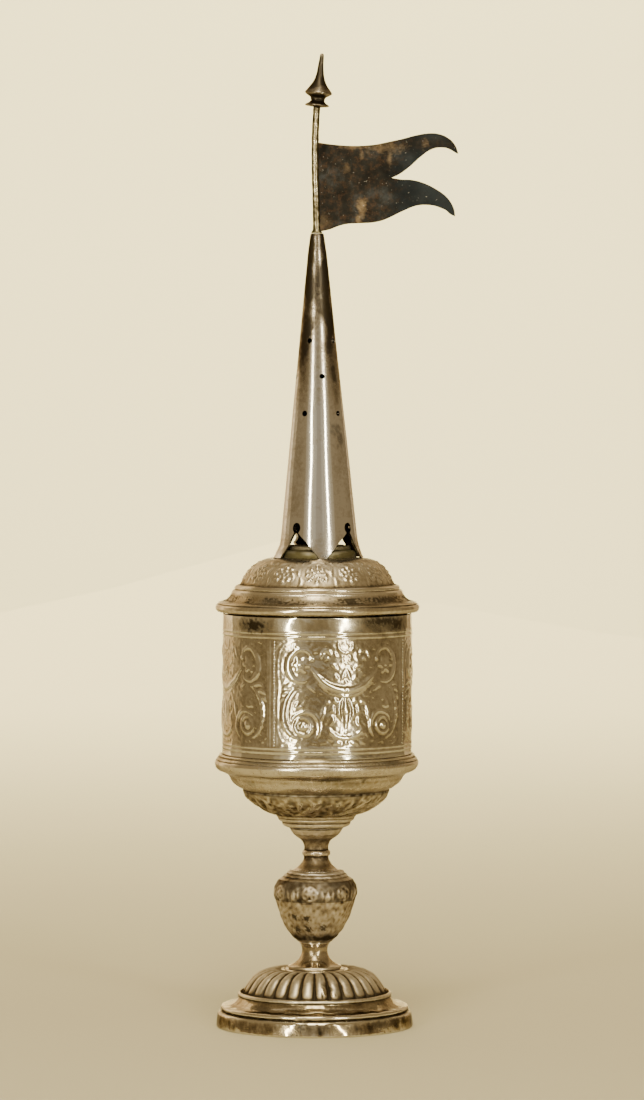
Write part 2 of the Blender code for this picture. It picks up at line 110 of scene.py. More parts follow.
def joined(*runs):
    """One line from runs of (spacing, point, ...). Each run starts at the last one's end, with a corner."""
    parts, start = [], []
    for spacing, *points in runs:
        parts.append(along(start + points, spacing)[len(start):])
        start = points[-1:]
    return np.concatenate(parts)


def ripples(points, wavelength, seed, count=14):
    """Smooth random waves over points in space, mostly between -1 and 1."""
    rng = np.random.default_rng(seed)
    ways = rng.normal(size=(count, 3))
    ways *= (2 * np.pi / wavelength * rng.uniform(0.6, 1.6, count) / np.linalg.norm(ways, axis=1))[:, None]
    return np.sin(points @ ways.T + rng.uniform(0, 2 * np.pi, count)).sum(-1) / math.sqrt(count)


def limited(value):
    """The value kept between 0 and 1."""
    return np.clip(value, 0, 1)


def bump(value, width):
    """1 at 0, falling smoothly to nothing a little beyond that width."""
    return np.exp(-(value / width) ** 2)


# Chased relief on a flat patch

class Relief:
    """Heights over a flat patch, x across it and y up it. A patch with a period repeats across."""

    def __init__(self, width, height, cell, wear, repeats=False):
        self.cell = cell
        self.wear = wear
        self.period = width if repeats else None
        self.x = np.arange(0, width + cell, cell)
        self.y = np.arange(0, height + cell, cell)
        self.raised = np.zeros((len(self.y), len(self.x)))
        self.cut = np.zeros_like(self.raised)

    def stroke(self, points, widths, height, groove=0.0):
        """A raised line with a rounded back, of half widths spread along it, and its outline."""
        line = along(points, self.cell * 1.5)
        half = np.interp(np.linspace(0, 1, len(line)), np.linspace(0, 1, len(widths)), widths)
        shifts = (-self.period, 0, self.period) if self.period else (0,)
        for shift in shifts:
            self.press(line + (shift, 0), half, height, groove)

    def press(self, line, half, height, groove):
        reach = half.max() + 3 * OUTLINE_W
        low, high = line.min(0) - reach, line.max(0) + reach
        rows = slice(*np.searchsorted(self.y, (low[1], high[1])))
        cols = slice(*np.searchsorted(self.x, (low[0], high[0])))
        x, y = np.meshgrid(self.x[cols], self.y[rows])
        if not x.size:
            return
        away = np.hypot(x[..., None] - line[:, 0], y[..., None] - line[:, 1])
        nearest = away.argmin(-1)
        away = away.min(-1)
        width = half[nearest]
        across = away / width
        back = height * np.sqrt(width / half.max()) * limited(1 - across ** 2)
        back *= 1 - groove * bump(across, 0.35)
        self.raised[rows, cols] = np.maximum(self.raised[rows, cols], back)
        edge = OUTLINE_DEPTH * bump(np.maximum(away - width, 0) - OUTLINE_W / 2, OUTLINE_W)
        self.cut[rows, cols] = np.maximum(self.cut[rows, cols], edge)

    def dot(self, x, y, radius, height):
        step = self.cell / 2
        self.stroke([(x - step, y), (x, y), (x + step, y)], (radius,), height)

    def leaf(self, points, width, height):
        """A pointed leaf with a vein."""
        self.stroke(points, (width * 0.2, width * 0.8, width, width * 0.7, width * 0.1), height, 0.45)

    def flower(self, x, y, radius, petals, height):
        """Two rings of petals round a ball."""
        for ring, (reach, size) in enumerate(((0.72, 0.30), (0.42, 0.20))):
            for petal in range(petals):
                turn = 2 * math.pi * (petal + ring / 2) / petals
                ends = []
                for share in (reach - size * 0.8, reach, reach + size * 0.7):
                    ends.append((x + radius * share * math.cos(turn), y + radius * share * math.sin(turn)))
                widths = (radius * size * 0.6, radius * size, radius * size * 0.7)
                self.stroke(ends, widths, height * (0.75 + 0.25 * ring), 0.3)
        self.dot(x, y, radius * 0.2, height * 1.2)

    def spiral(self, x, y, radius, start, end, widths, height):
        """A stroke winding in to a ball, between two angles."""
        turns = np.radians(np.linspace(start, end, 12))
        reach = radius * np.linspace(1.0, 0.75, 12)
        points = np.stack([x + reach * np.cos(turns), y + reach * np.sin(turns)], -1)
        self.stroke(points, widths, height, 0.2)

    def worn(self, field):
        """A field with its edges rubbed soft."""
        for _ in range(self.wear):
            for axis in (0, 1):
                field = (np.roll(field, 1, axis) + 2 * field + np.roll(field, -1, axis)) / 4
        return field

    def heights(self):
        return self.worn(self.raised - self.cut * bump(self.raised, 0.08))

    def ground(self):
        """1 where nothing is raised."""
        return self.worn(bump(self.raised, 0.12))

    def at(self, field, x, y):
        """A field's values at any points, mixed from the four cells round each."""
        u = np.clip(x / self.cell, 0, len(self.x) - 1.001)
        v = np.clip(y / self.cell, 0, len(self.y) - 1.001)
        i, j = v.astype(int), u.astype(int)
        u, v = u - j, v - i
        low = field[i, j] * (1 - u) + field[i, j + 1] * u
        high = field[i + 1, j] * (1 - u) + field[i + 1, j + 1] * u
        return low * (1 - v) + high * v


# Turned skins

class Turned:
    """A turned skin: rows run down the profile line and columns run round the axis."""

    def __init__(self, line, columns, turn=0.0, closed=False):
        self.line = line
        self.closed = closed
        self.turn = np.radians(turn) + np.arange(columns) * 2 * np.pi / columns
        self.degrees = np.degrees(self.turn)[None, :]
        before, after = np.roll(line, 1, 0), np.roll(line, -1, 0)
        if not closed:
            before[0], after[-1] = line[0], line[-1]
        tangent = after - before
        tangent /= np.linalg.norm(tangent, axis=1)[:, None]
        self.out_r, self.out_z = -tangent[:, 1:], tangent[:, :1]
        self.r, self.z = line[:, :1], line[:, 1:]
        self.lift, self.ground, self.stain_and_shade, self.tarnish, self.dull = np.zeros((5, len(line), columns))
        self.fineness = 0.13

    def points(self):
        r = self.r + self.lift * self.out_r
        z = self.z + self.lift * self.out_z
        return np.stack([r * np.sin(self.turn), -r * np.cos(self.turn), z], -1)

    def span(self, low, high, edge=0.3):
        """1 on rows of the outer side between two heights, 0 elsewhere."""
        inside = limited((self.z - low) / edge) * limited((high - self.z) / edge)
        return inside * (self.out_r * self.r > -0.01 * self.r)

    def waves(self, wavelength, seed, count=14, squeeze=1.0):
        """Random waves over the skin, drawn out along the axis where squeezed."""
        return ripples(self.points() * (1, 1, squeeze), wavelength, seed, count)

    def uneven(self, amount, wavelength, seed):
        """Slight unevenness of metal beaten by hand."""
        self.lift += amount * self.waves(wavelength, seed)

    def carve(self, patch, x, y, where, depth):
        """Raises a relief over part of the skin, and marks its ground."""
        self.lift += where * depth * patch.at(patch.heights(), x, y)
        self.ground = where * patch.at(patch.ground(), x, y)

    def darken(self, amount):
        self.stain_and_shade = np.maximum(self.stain_and_shade, amount)

    def patches(self, *places):
        """Ragged stains round places on the skin, half as wide and high as given, each with its seed."""
        for turn, z, wide, high, amount, seed in places:
            across = np.radians((self.degrees - turn + 180) % 360 - 180) * self.r / wide
            away = np.hypot(across, (self.z - z) / high) + 0.3 * self.waves(high * 0.9, seed)
            away += 0.2 * self.waves(0.8, seed + 1, 30)
            self.darken(amount * limited((1.25 - away) * 1.5))

    def dirt_and_shade(self, *bands):
        """Dark bands of (low, high, amount, soft edge) on the outer side: tarnished joints and grooves,
        and in some places painted shade and painted dark reflection lines.
        """
        ragged = 1 + 0.3 * self.waves(2.0, 95)
        for low, high, amount, edge in bands:
            self.darken(limited(amount * self.span(low, high, edge) * ragged))

    def arc(self):
        """Distance along the profile line, row by row."""
        return np.cumsum(np.hypot(*np.gradient(self.line, axis=0).T))[:, None]

    def climb(self, low):
        """Distance up the profile from a height, for a line that only falls."""
        arc = self.arc()
        return np.interp(low, self.z[::-1, 0], arc[::-1, 0]) - arc + np.zeros_like(self.lift)

    def recess(self, points, reach=5):
        """How far each point lies below its surroundings: 1 in a recess, -1 on a ridge."""
        smooth = points
        for _ in range(reach * reach):
            smooth = (np.roll(smooth, 1, 1) + 2 * smooth + np.roll(smooth, -1, 1)) / 4
            above, below = np.roll(smooth, 1, 0), np.roll(smooth, -1, 0)
            if not self.closed:
                above[0], below[-1] = smooth[0], smooth[-1]
            smooth = (above + 2 * smooth + below) / 4
        down = np.gradient(points, axis=0)
        around = np.roll(points, -1, 1) - np.roll(points, 1, 1)
        normal = np.cross(down, around)
        normal /= np.linalg.norm(normal, axis=-1)[..., None] + 1e-9
        fine = ((smooth - points) * normal).sum(-1) / self.fineness
        return np.clip(fine + self.hollow(), -1, 1)

    def hollow(self, reach=0.9, step=0.1, side=30):
        """The same for the grooves and rings of the profile."""
        at = distances(self.line)
        even = np.arange(0, at[-1], step)
        spread = np.exp(-(np.arange(-side, side + 1) * step / reach) ** 2)
        spread /= spread.sum()
        level = np.zeros(len(self.line))
        for axis, out in ((0, self.out_r), (1, self.out_z)):
            value = np.interp(even, at, self.line[:, axis])
            wide = np.convolve(np.pad(value, side, "edge"), spread, "valid")
            level += (np.interp(at, even, wide) - self.line[:, axis]) * out[:, 0]
        return level[:, None] / 0.6

    def made(self, name, node, material, place=None):
        points = self.points()
        # Recesses are darkened and ridges lightened: tarnished hollows and worn ridges, and painted shade in
        # the recesses in place of occlusion.
        tarnish = self.tarnish + 0.5 * self.recess(points)
        if place:
            points = place(points)
        faces = grid_faces(*self.lift.shape, closed=self.closed)
        fields = {"tarnish": tarnish, "ground": self.ground, "stain_and_shade": self.stain_and_shade, "dull": self.dull}
        return made_piece(name, (node,), points.reshape(-1, 3), faces, fields, material)


def grid_faces(rows, columns, closed=False, open_sides=False):
    """Faces between the points of a grid, row by row. Columns wrap round unless the sides are open."""
    i = np.arange(rows if closed else rows - 1)[:, None]
    j = np.arange(columns - open_sides)[None, :]
    row, below, beside = i * columns, (i + 1) % rows * columns, (j + 1) % columns
    return np.stack([row + j, below + j, below + beside, row + beside], -1).reshape(-1, 4)


def lean(z):
    """How far the tower's middle stands off its straight axis: a stem and a spire very slightly bent."""
    heights = (0.0, 24.0, 34.0, 43.0, 60.0, 66.0, 85.0, 112.0, 119.0, 196.0)
    return np.interp(z, heights, (-0.65, -0.6, -0.4, -0.2, -0.25, -0.1, 0.05, 0.05, 0.5, 0.0))


def made_piece(name, nodes, points, faces, fields, material):
    """A mesh piece in the frame's metres that rides on the body and stands for CAD nodes."""
    mesh = bpy.data.meshes.new(name)
    points = points + np.stack([lean(points[:, 2]), 0 * points[:, 0], 0 * points[:, 0]], -1)
    faces = [tuple(dict.fromkeys(face)) for face in faces.tolist()]
    mesh.from_pydata(((points + (AXIS_X, 0, 0)) * MM).tolist(), [], faces)
    for field, values in fields.items():
        layer = mesh.attributes.new(field, "FLOAT", "POINT")
        layer.data.foreach_set("value", np.ascontiguousarray(values, dtype=np.float32).ravel())
    bm = bmesh.new()
    bm.from_mesh(mesh)
    bmesh.ops.remove_doubles(bm, verts=bm.verts, dist=0.002 * MM)
    bm.to_mesh(mesh)
    bm.free()
    mesh.shade_smooth()
    mesh.materials.append(material)
    obj = bpy.data.objects.new(name, mesh)
    bpy.context.scene.collection.objects.link(obj)
    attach(obj, "root")
    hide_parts(*nodes)
    return obj


# Materials

class Nodes:
    """Short ways to add shader nodes to one material."""

    def __init__(self, name):
        self.material = bpy.data.materials.new(name)
        self.material.use_nodes = True
        self.tree = self.material.node_tree
        self.shader = self.tree.nodes["Principled BSDF"]
        self.place = self.add("ShaderNodeTexCoord").outputs["Object"]

    def add(self, kind, **sockets):
        return self.fill(self.tree.nodes.new(kind), sockets)

    def surface(self, **sockets):
        self.fill(self.shader, sockets)

    def fill(self, node, sockets):
        """Links or sets a node's sockets by name."""
        for name, value in sockets.items():
            self.put(node.inputs[name.replace("_", " ")], value)
        return node

    def put(self, socket, value):
        if isinstance(value, bpy.types.NodeSocket):
            self.tree.links.new(value, socket)
        else:
            socket.default_value = value

    def noise(self, scale, detail=3.0, roughness=0.55, stretch=None):
        """Noise with features of about 1/scale metres, or stretched along each axis."""
        place = self.place
        if stretch:
            place = self.add("ShaderNodeMapping", Vector=place, Scale=stretch).outputs[0]
        node = self.add("ShaderNodeTexNoise", Vector=place, Scale=scale, Detail=detail, Roughness=roughness)
        return node.outputs["Fac"]

    def field(self, name):
        node = self.add("ShaderNodeAttribute")
        node.attribute_name = name
        return node.outputs["Fac"]

    def math(self, operation, *values, clamp=False):
        node = self.add("ShaderNodeMath")
        node.operation = operation
        node.use_clamp = clamp
        for socket, value in zip(node.inputs, values):
            self.put(socket, value)
        return node.outputs[0]

    def total(self, start, *terms):
        """A start and values times their shares, added up and kept between 0 and 1."""
        for value, share in terms:
            start = self.math("MULTIPLY_ADD", value, share, start)
        return self.math("ADD", start, 0.0, clamp=True)

    def ramp(self, value, *stops):
        """Colours or greys at places from 0 to 1."""
        node = self.add("ShaderNodeValToRGB", Fac=value)
        stops = [(at, color if isinstance(color, tuple) else (color,) * 3) for at, color in stops]
        elements = node.color_ramp.elements
        while len(elements) < len(stops):
            elements.new(1.0)
        for element, (at, color) in zip(elements, stops):
            element.position = at
            element.color = (*color, 1.0)
        return node.outputs["Color"]

    def blend(self, share, a, b):
        node = self.add("ShaderNodeMix")
        node.data_type = "RGBA"
        for socket, value in zip((node.inputs[0], node.inputs[6], node.inputs[7]), (share, a, b)):
            self.put(socket, value)
        return node.outputs[2]

    def bumps(self, *layers):
        """Bump from (height, distance in millimetres) layers, one over the other."""
        normal = None
        for height, distance in layers:
            node = self.add("ShaderNodeBump", Height=height, Distance=distance * MM, Strength=1.0)
            if normal:
                self.put(node.inputs["Normal"], normal)
            normal = node.outputs[0]
        self.surface(Normal=normal)


def silver(name, polish, age, grime=(0.045, 0.034, 0.020), tint=(1.0, 1.0, 1.0), beaten=0.012, flecks=0.85):
    """Old silver: polished ridges, tarnished brown in clouds and recesses, dark stains, fine scratches.
    Its darkening fields also carry painted shade in recesses and on some flanks, and painted dark
    reflection lines, coloured by the ramp and the grime colour.
    polish is the roughness of the cleanest metal, and age shifts it all towards brown. beaten is the
    depth of its unevenness in millimetres, and flecks the strength of its specks."""
    n = Nodes(name)
    ground, stain_and_shade = n.field("ground"), n.field("stain_and_shade")
    cloud = n.noise(75.0, 5.0, 0.6)
    speck = n.noise(900.0, 4.0, 0.65)
    clouds = 1.1
    start = age - clouds / 2 - flecks / 2
    dark = n.total(start, (n.field("tarnish"), 1.0), (cloud, clouds), (speck, flecks), (ground, 0.12))
    stops = (
        (0.0, (0.69, 0.665, 0.63)),
        (0.3, (0.50, 0.455, 0.39)),
        (0.55, (0.33, 0.283, 0.215)),
        (0.8, (0.15, 0.122, 0.088)),
        (1.0, (0.058, 0.047, 0.034)),
    )
    stops = [(at, tuple(channel * share for channel, share in zip(color, tint))) for at, color in stops]
    color = n.blend(stain_and_shade, n.ramp(dark, *stops), (*grime, 1.0))
    rough = n.total(polish - 0.09, (dark, 0.28), (stain_and_shade, 0.2), (speck, 0.06), (n.field("dull"), 0.3))
    n.surface(Base_Color=color, Roughness=rough, Metallic=1.0, Specular_Tint=(0.48, 0.44, 0.40, 1.0))
    scratches = n.noise(420.0, 2.0, 0.5, stretch=(1.0, 1.0, 7.0))
    stipple = n.math("MULTIPLY", n.noise(1900.0, 1.0), ground)
    n.bumps((scratches, 0.006), (n.noise(330.0, 3.0), beaten), (stipple, 0.015))
    return n.material


def sooty(name):
    """Nearly black tarnished silver with a blue sheen, brown and beige stains and bright pinpricks."""
    n = Nodes(name)
    cloud = n.noise(150.0, 7.0, 0.7)
    speck = n.noise(1500.0, 2.0, 0.6)
    brown = n.noise(700.0, 5.0, 0.75)
    shades = ((0.3, (0.014, 0.013, 0.012)), (0.52, (0.029, 0.028, 0.026)), (0.74, (0.070, 0.077, 0.084)))
    blue = n.math("SUBTRACT", 0.75, n.field("rust"), clamp=True)
    color = n.blend(blue, n.ramp(cloud, *shades), (0.022, 0.030, 0.038, 1.0))
    rust = n.math("MULTIPLY", n.ramp(brown, (0.48, 0.0), (0.68, 0.5)), n.field("rust"))
    color = n.blend(rust, color, (0.115, 0.062, 0.034, 1.0))
    stain_and_shade = n.math("MULTIPLY", n.field("stain_and_shade"), n.ramp(speck, (0.30, 0.6), (0.65, 1.0)))
    color = n.blend(stain_and_shade, color, (0.32, 0.225, 0.13, 1.0))
    color = n.blend(n.ramp(speck, (0.69, 0.0), (0.75, 0.4)), color, (0.5, 0.46, 0.4, 1.0))
    n.surface(Base_Color=color, Metallic=1.0, Roughness=n.ramp(cloud, (0.3, 0.34), (0.7, 0.52)))
    n.bumps((n.noise(260.0, 4.0), 0.05), (speck, 0.02))
    return n.material


def matt(name, color):
    n = Nodes(name)
    shade = tuple(channel * 0.97 for channel in color)
    mixed = n.blend(n.noise(9.0, 3.0), (*color, 1.0), (*shade, 1.0))
    n.surface(Base_Color=mixed, Roughness=0.9, Specular_IOR_Level=0.2)
    return n.material


# Foot

def foot(material):
    turn = 6.0
    skin = Turned(joined(
        (1.2, (0, 14.1), (7.0, 14.1)),
        (0.14, (7.25, 13.8), (7.1, 13.45)),
        (0.3, (8.0, 13.95), (9.5, 14.15), (11.5, 14.0), (13.2, 13.5), (14.8, 12.6), (16.1, 11.25),
         (17.15, 9.75), (18.0, 8.45)),
        (0.14, (18.6, 8.45), (19.0, 8.1), (18.95, 7.65), (18.75, 7.45)),
        (0.22, (19.1, 6.8), (19.7, 6.2), (20.6, 5.7), (21.6, 5.4), (22.5, 5.25)),
        (0.14, (23.0, 5.05), (23.15, 4.6), (22.95, 4.2), (22.7, 3.95)),
        (0.14, (23.25, 3.85), (23.7, 3.65), (23.95, 3.2)),
        (0.26, (24.15, 1.8), (24.3, 0.35)),
        (0.15, (24.2, 0.08), (23.7, 0.0)),
        (0.9, (21.9, 0.0)),
        (1.3, (21.9, 2.5)),
        (1.8, (17.3, 7.2)),
        (1.8, (14.6, 10.2), (10.8, 11.8), (6.8, 12.4)),
        (2.4, (0, 12.9)),
    ), LOBES * 18, turn=turn)
    band = skin.span(0.2, 3.5)
    outer = (skin.out_r > -0.2) & (skin.out_z > -0.05) & (skin.r > 7.2) & (skin.r < 18.3) & (skin.z > 8.3)
    across = ((skin.degrees - turn) * LOBES / 360 + 0.5) % 1 * 2 - 1
    start = limited((skin.r - 7.2) / 2.2)
    end = limited((skin.r - 16.2) / 2.0)
    depth = 0.78 * start ** 0.7 * (0.45 + 0.55 * limited((skin.r - 7.2) / 8.0))
    swell = np.sqrt(limited(1 - end ** 2.4)) * (1 - 0.65 * across ** 2 - 0.35 * across ** 4)
    skin.lift -= outer * depth * (1 - swell)
    skin.tarnish += outer * (0.18 + 0.28 * bump(np.abs(across) - 1.0, 0.5))
    skin.tarnish += outer * 0.35 * limited((9.8 - skin.r) / 1.5)
    skin.dull += outer * (0.75 + 0.25 * limited((15.0 - skin.r) / 3.0)) + 0.5 * skin.span(7.5, 8.6)
    # Front lobe ends: polished spots, and between them a dark stain that is painted dark reflection, with
    # some darkening over the whole patch.
    rubbed_and_dark_reflection = outer * bump(skin.degrees, 24.0) * limited((skin.r - 14.5) / 1.5)
    spots = skin.waves(2.4, 8)
    skin.lift += 0.1 * rubbed_and_dark_reflection * spots
    skin.dull -= rubbed_and_dark_reflection * limited(1.2 * spots)
    skin.tarnish += 0.12 * rubbed_and_dark_reflection
    skin.stain_and_shade = 0.85 * rubbed_and_dark_reflection * limited(-1.3 * spots)
    skin.tarnish += 0.2 * skin.span(7.6, 8.7) - 0.32 * skin.span(5.2, 7.6, 0.5)
    skin.dull -= 0.5 * skin.span(5.0, 7.8, 0.5)
    skin.uneven(0.04, 5.0, 11)
    skin.lift *= skin.z > 0.3
    skin.ground += 0.8 * outer * limited((14.5 - skin.r) / 3.0)
    skin.patches((40, 2.6, 3.0, 0.9, 0.6, 40), (55, 2.6, 2.5, 0.9, 0.6, 55), (66, 2.6, 2.0, 0.9, 0.6, 66),
                 (-62, 1.6, 4.0, 1.0, 0.35, 5))
    fleck = skin.waves(0.9, 16, 30) + 0.9 * skin.waves(6.0, 17)
    skin.darken(band * np.clip(0.6 * fleck - 0.35, 0, 0.7))
    streaks = skin.waves(1.1, 19, 30, squeeze=0.25)
    skin.tarnish += band * (0.38 + 0.15 * skin.waves(2.5, 18) + 0.13 * streaks)
    skin.dull -= 0.7 * band
    skin.dirt_and_shade((3.6, 4.3, 0.7, 0.25), (7.2, 7.9, 0.5, 0.25))
    skin.patches(*((place, 6.0, 2.8, 0.8, 0.5, 300 + place) for place in (-14, 17, -40, 60, 150, -130)))
    skin.made("foot_relief", "foot", material)


# Stem

def stem_collar(material):
    skin = Turned(joined(
        (1.5, (0, 20.7), (3.9, 20.7)),
        (0.2, (3.55, 20.2), (3.25, 19.6), (3.12, 18.6), (3.35, 17.6), (3.85, 16.6), (4.6, 15.85),
         (5.6, 15.3), (6.4, 15.0)),
        (0.12, (6.62, 14.75), (6.6, 14.4), (6.45, 14.2)),
        (1.5, (0, 14.2)),
    ), 120)
    skin.uneven(0.01, 5.0, 12)
    rim = skin.span(14.2, 15.1)
    skin.tarnish += 0.35 * rim
    skin.dull += 0.6 * rim
    skin.made("stem_collar_turned", "stem_collar", material)


def knop_relief():
    """One of the knop's seven units: a flower and a leaf above, overlapping leaves below."""
    patch = Relief(KNOP_UNIT_W, 19.0, 0.11, 5, repeats=True)
    patch.flower(4.4, 14.6, 1.25, 6, 0.4)
    for turn in range(0, 360, 60):
        patch.spiral(4.4, 14.6, 1.95, turn, turn + 75, (0.12, 0.34, 0.1), 0.4)
    patch.leaf([(8.3, 12.5), (8.9, 14.0), (9.1, 15.6)], 0.75, 0.5)
    patch.leaf([(7.3, 12.9), (7.5, 14.4), (7.2, 15.7)], 0.35, 0.35)
    patch.leaf([(1.5, 12.9), (1.3, 14.4), (1.6, 15.7)], 0.35, 0.35)
    for middle, tip, size in ((4.4, 11.6, 1.1), (0.0, 9.6, 1.0)):
        upright = [(middle, 0.6), (middle, tip * 0.45), (middle, tip * 0.8), (middle, tip)]
        patch.leaf(upright, 1.5 * size, 0.42)
        for side in (-1, 1):
            for low, high in ((0.25, 0.52), (0.45, 0.74), (0.66, 0.93)):
                start = (middle + side * 0.5 * size, tip * low)
                bend = (middle + side * 1.7 * size, tip * (low + high) / 2)
                patch.leaf([start, bend, (middle + side * 2.0 * size, tip * high)], 0.5, 0.4)
    return patch


def knop(material):
    skin = Turned(joined(
        (1.6, (0, 38.35), (6.4, 38.35)),
        (0.14, (6.95, 38.2), (7.1, 37.9), (7.0, 37.7)),
        (0.14, (7.7, 37.5), (7.95, 37.2), (7.9, 37.0)),
        (0.2, (8.5, 36.75), (9.2, 36.1), (9.8, 35.2), (10.15, 34.2), (10.2, 33.0), (9.95, 31.7),
         (9.55, 30.3), (9.1, 28.9), (8.6, 27.5), (8.05, 26.2), (7.4, 24.95), (6.65, 23.7), (5.75, 22.5),
         (4.95, 21.6), (4.3, 21.05)),
        (1.5, (3.9, 20.75), (0, 20.75)),
    ), KNOP_UNITS * 56, turn=KNOP_TURN)
    up = skin.climb(21.05)
    wobble = 0.12 * skin.waves(5.0, 21)
    across = ((skin.degrees - KNOP_TURN) * KNOP_UNITS / 360 + 0.5) % 1 * KNOP_UNIT_W
    carved = (skin.span(21.3, 36.6, 0.6) > 0.5) * (skin.z < 36.7)
    skin.carve(knop_relief(), across + wobble, up + wobble, carved, np.where(up > 12.0, 0.6, 0.3))
    skin.uneven(0.07, 3.0, 22)
    skin.stain_and_shade = 0.7 * skin.ground * (up > 12.4) * (skin.span(31.0, 36.8) > 0)
    for turn, z in ((-35, 27.6), (-14, 27.4), (-36, 24.3), (-13, 24.6), (16, 25.0)):
        skin.patches((turn, z, 0.9, 0.8, 0.9, 40 + turn))
    skin.fineness = 0.3
    skin.tarnish += 0.15 * carved * skin.waves(1.7, 23, 30) - 0.12
    skin.tarnish += 0.12 * (skin.z > 31.0) * (1 + 1.5 * skin.waves(6.0, 24))
    skin.dull += 0.35 * (skin.z > 36.8) + 0.3
    # The wide band under the knop is painted shade on its underside; the thin band above is a dark joint.
    skin.dirt_and_shade((20.7, 23.6, 0.95, 1.2), (37.0, 37.3, 0.5, 0.25))
    skin.made("knop_relief", "knop", material)


def neck(material):
    skin = Turned(joined(
        (1.5, (0, 49.15), (6.7, 49.15)),
        (0.2, (6.35, 48.5), (5.95, 47.9), (5.75, 47.6)),
        (0.12, (5.6, 47.45), (5.3, 47.2), (4.9, 46.85), (4.35, 46.5)),
        (0.2, (3.7, 46.0), (3.2, 45.2), (2.98, 44.3), (2.98, 43.6)),
        (0.12, (3.25, 43.4), (3.45, 43.0), (3.45, 42.6), (3.25, 42.2), (3.0, 42.0)),
        (0.2, (3.1, 41.3), (3.4, 40.7), (3.85, 40.0), (4.5, 39.4), (5.3, 38.85), (5.9, 38.5)),
        (1.5, (5.6, 38.4), (0, 38.4)),
    ), 120)
    skin.uneven(0.015, 4.0, 31)
    skin.dull += 0.3 * (skin.z > 45.0)
    skin.tarnish += 0.25 * bump(skin.z - 47.9, 1.2) + 0.25 * bump(skin.z - 42.8, 0.6)
    skin.dirt_and_shade((38.4, 39.0, 0.6, 0.5), (41.6, 42.2, 0.7, 0.3), (43.4, 43.9, 0.7, 0.3),
              (46.0, 46.7, 0.4, 0.3), (47.3, 47.7, 0.6, 0.2), (48.7, 49.2, 0.9, 0.2))
    skin.made("neck_turned", "neck", material)


# Spice box

def bowl_relief():
    """One of the bowl's eight units: a flower beside a leaf that swirls up and over."""
    patch = Relief(BOWL_UNIT_W, 11.0, 0.12, 5, repeats=True)
    patch.flower(3.0, 7.0, 2.2, 6, 0.45)
    for width, height, *line in (
        (1.25, 0.6, (0.8, 0.3), (4.2, 1.6), (7.4, 3.6), (9.4, 6.2), (9.7, 8.6), (8.4, 9.6)),
        (0.55, 0.5, (7.0, 3.8), (9.0, 3.4), (10.6, 4.4)),
        (0.6, 0.5, (8.6, 5.4), (10.5, 5.8), (11.4, 7.2)),
        (0.65, 0.5, (6.0, 4.0), (6.2, 5.8), (6.8, 7.6), (6.4, 9.4)),
        (0.5, 0.45, (9.6, 7.6), (11.0, 8.4), (11.4, 9.8)),
        (0.7, 0.5, (2.2, 0.2), (2.7, 1.8), (2.2, 3.8), (0.9, 5.0)),
        (0.5, 0.4, (5.2, 0.1), (6.4, 1.2), (7.4, 2.0)),
        (0.6, 0.45, (8.4, 0.1), (9.6, 1.2), (10.6, 2.6)),
    ):
        patch.leaf(line, width, height)
    return patch


def bowl(material):
    skin = Turned(joined(
        (0.5, (22.45, 67.4), (23.4, 67.4)),
        (0.13, (24.05, 67.35), (24.2, 67.1), (24.1, 66.85)),
        (0.14, (24.6, 66.5), (24.8, 66.15), (24.75, 65.95)),
        (0.16, (25.05, 65.75), (25.18, 65.2), (25.0, 64.4), (24.4, 63.6), (23.7, 63.2)),
        (0.2, (22.7, 62.85), (21.9, 62.35), (21.4, 61.7), (21.0, 60.9), (20.35, 60.1), (19.4, 59.4),
         (18.6, 58.95)),
        (0.12, (18.2, 58.75), (18.05, 58.5), (18.1, 58.3)),
        (0.24, (17.75, 57.4), (16.9, 56.3), (15.6, 55.25), (14.1, 54.25), (12.5, 53.4), (10.9, 52.8),
         (9.9, 52.45)),
        (0.13, (9.85, 52.1), (9.6, 51.75), (9.4, 51.6)),
        (0.13, (9.45, 51.35), (9.2, 51.0), (8.7, 50.7), (8.4, 50.55)),
        (0.13, (8.45, 50.25), (8.3, 49.85), (7.8, 49.5), (7.1, 49.25)),
        (2.0, (0, 49.25)),
    ), BOWL_UNITS * 66, turn=BOWL_TURN)
    low, high = 52.4, 58.3
    across = ((skin.degrees - BOWL_TURN) * BOWL_UNITS / 360 + 0.25) % 1 * BOWL_UNIT_W
    carved = skin.span(low, high, 0.25)
    wobble = 0.18 * skin.waves(6.0, 41)
    skin.fineness = 0.3
    skin.carve(bowl_relief(), across + wobble, skin.climb(low) + wobble, carved > 0.5, 0.75 * carved)
    skin.stain_and_shade = limited(0.28 + 0.3 * skin.waves(3.2, 44)) * skin.ground
    skin.tarnish += carved * (0.08 + 0.16 * skin.waves(1.8, 43, 30))
    skin.uneven(0.035, 7.0, 42)
    skin.tarnish -= 0.35 * skin.span(61.6, 63.9, 0.6)
    skin.dull += 0.25 + 0.5 * skin.span(57.6, 59.2) + 0.5 * (skin.z < 52.5)
    # The band at 65.85 to 66.15 on the flange's upper shoulder is a painted dark reflection line; the other
    # bands darken grooves and joints.
    skin.dirt_and_shade((57.75, 58.9, 0.65, 0.3), (51.5, 51.8, 0.7, 0.15), (50.4, 50.7, 0.7, 0.15),
              (49.0, 49.5, 0.8, 0.2), (66.6, 66.9, 0.5, 0.15), (65.85, 66.15, 0.85, 0.12))
    skin.patches(
        (8, 62.5, 4.5, 0.5, 0.75, 708), (22, 61.4, 4.5, 1.0, 0.35, 722), (32, 62.2, 0.7, 0.6, 0.7, 732),
        (48, 66.3, 5.0, 0.6, 0.6, 748), (-3, 66.5, 2.0, 0.5, 0.6, 697), (-35, 66.6, 4.0, 0.3, 0.5, 665),
        (-50, 61.0, 2.0, 0.8, 0.3, 650), (170, 61.6, 6.0, 0.8, 0.5, 870),
    )
    skin.made("bowl_relief", "bowl", material)


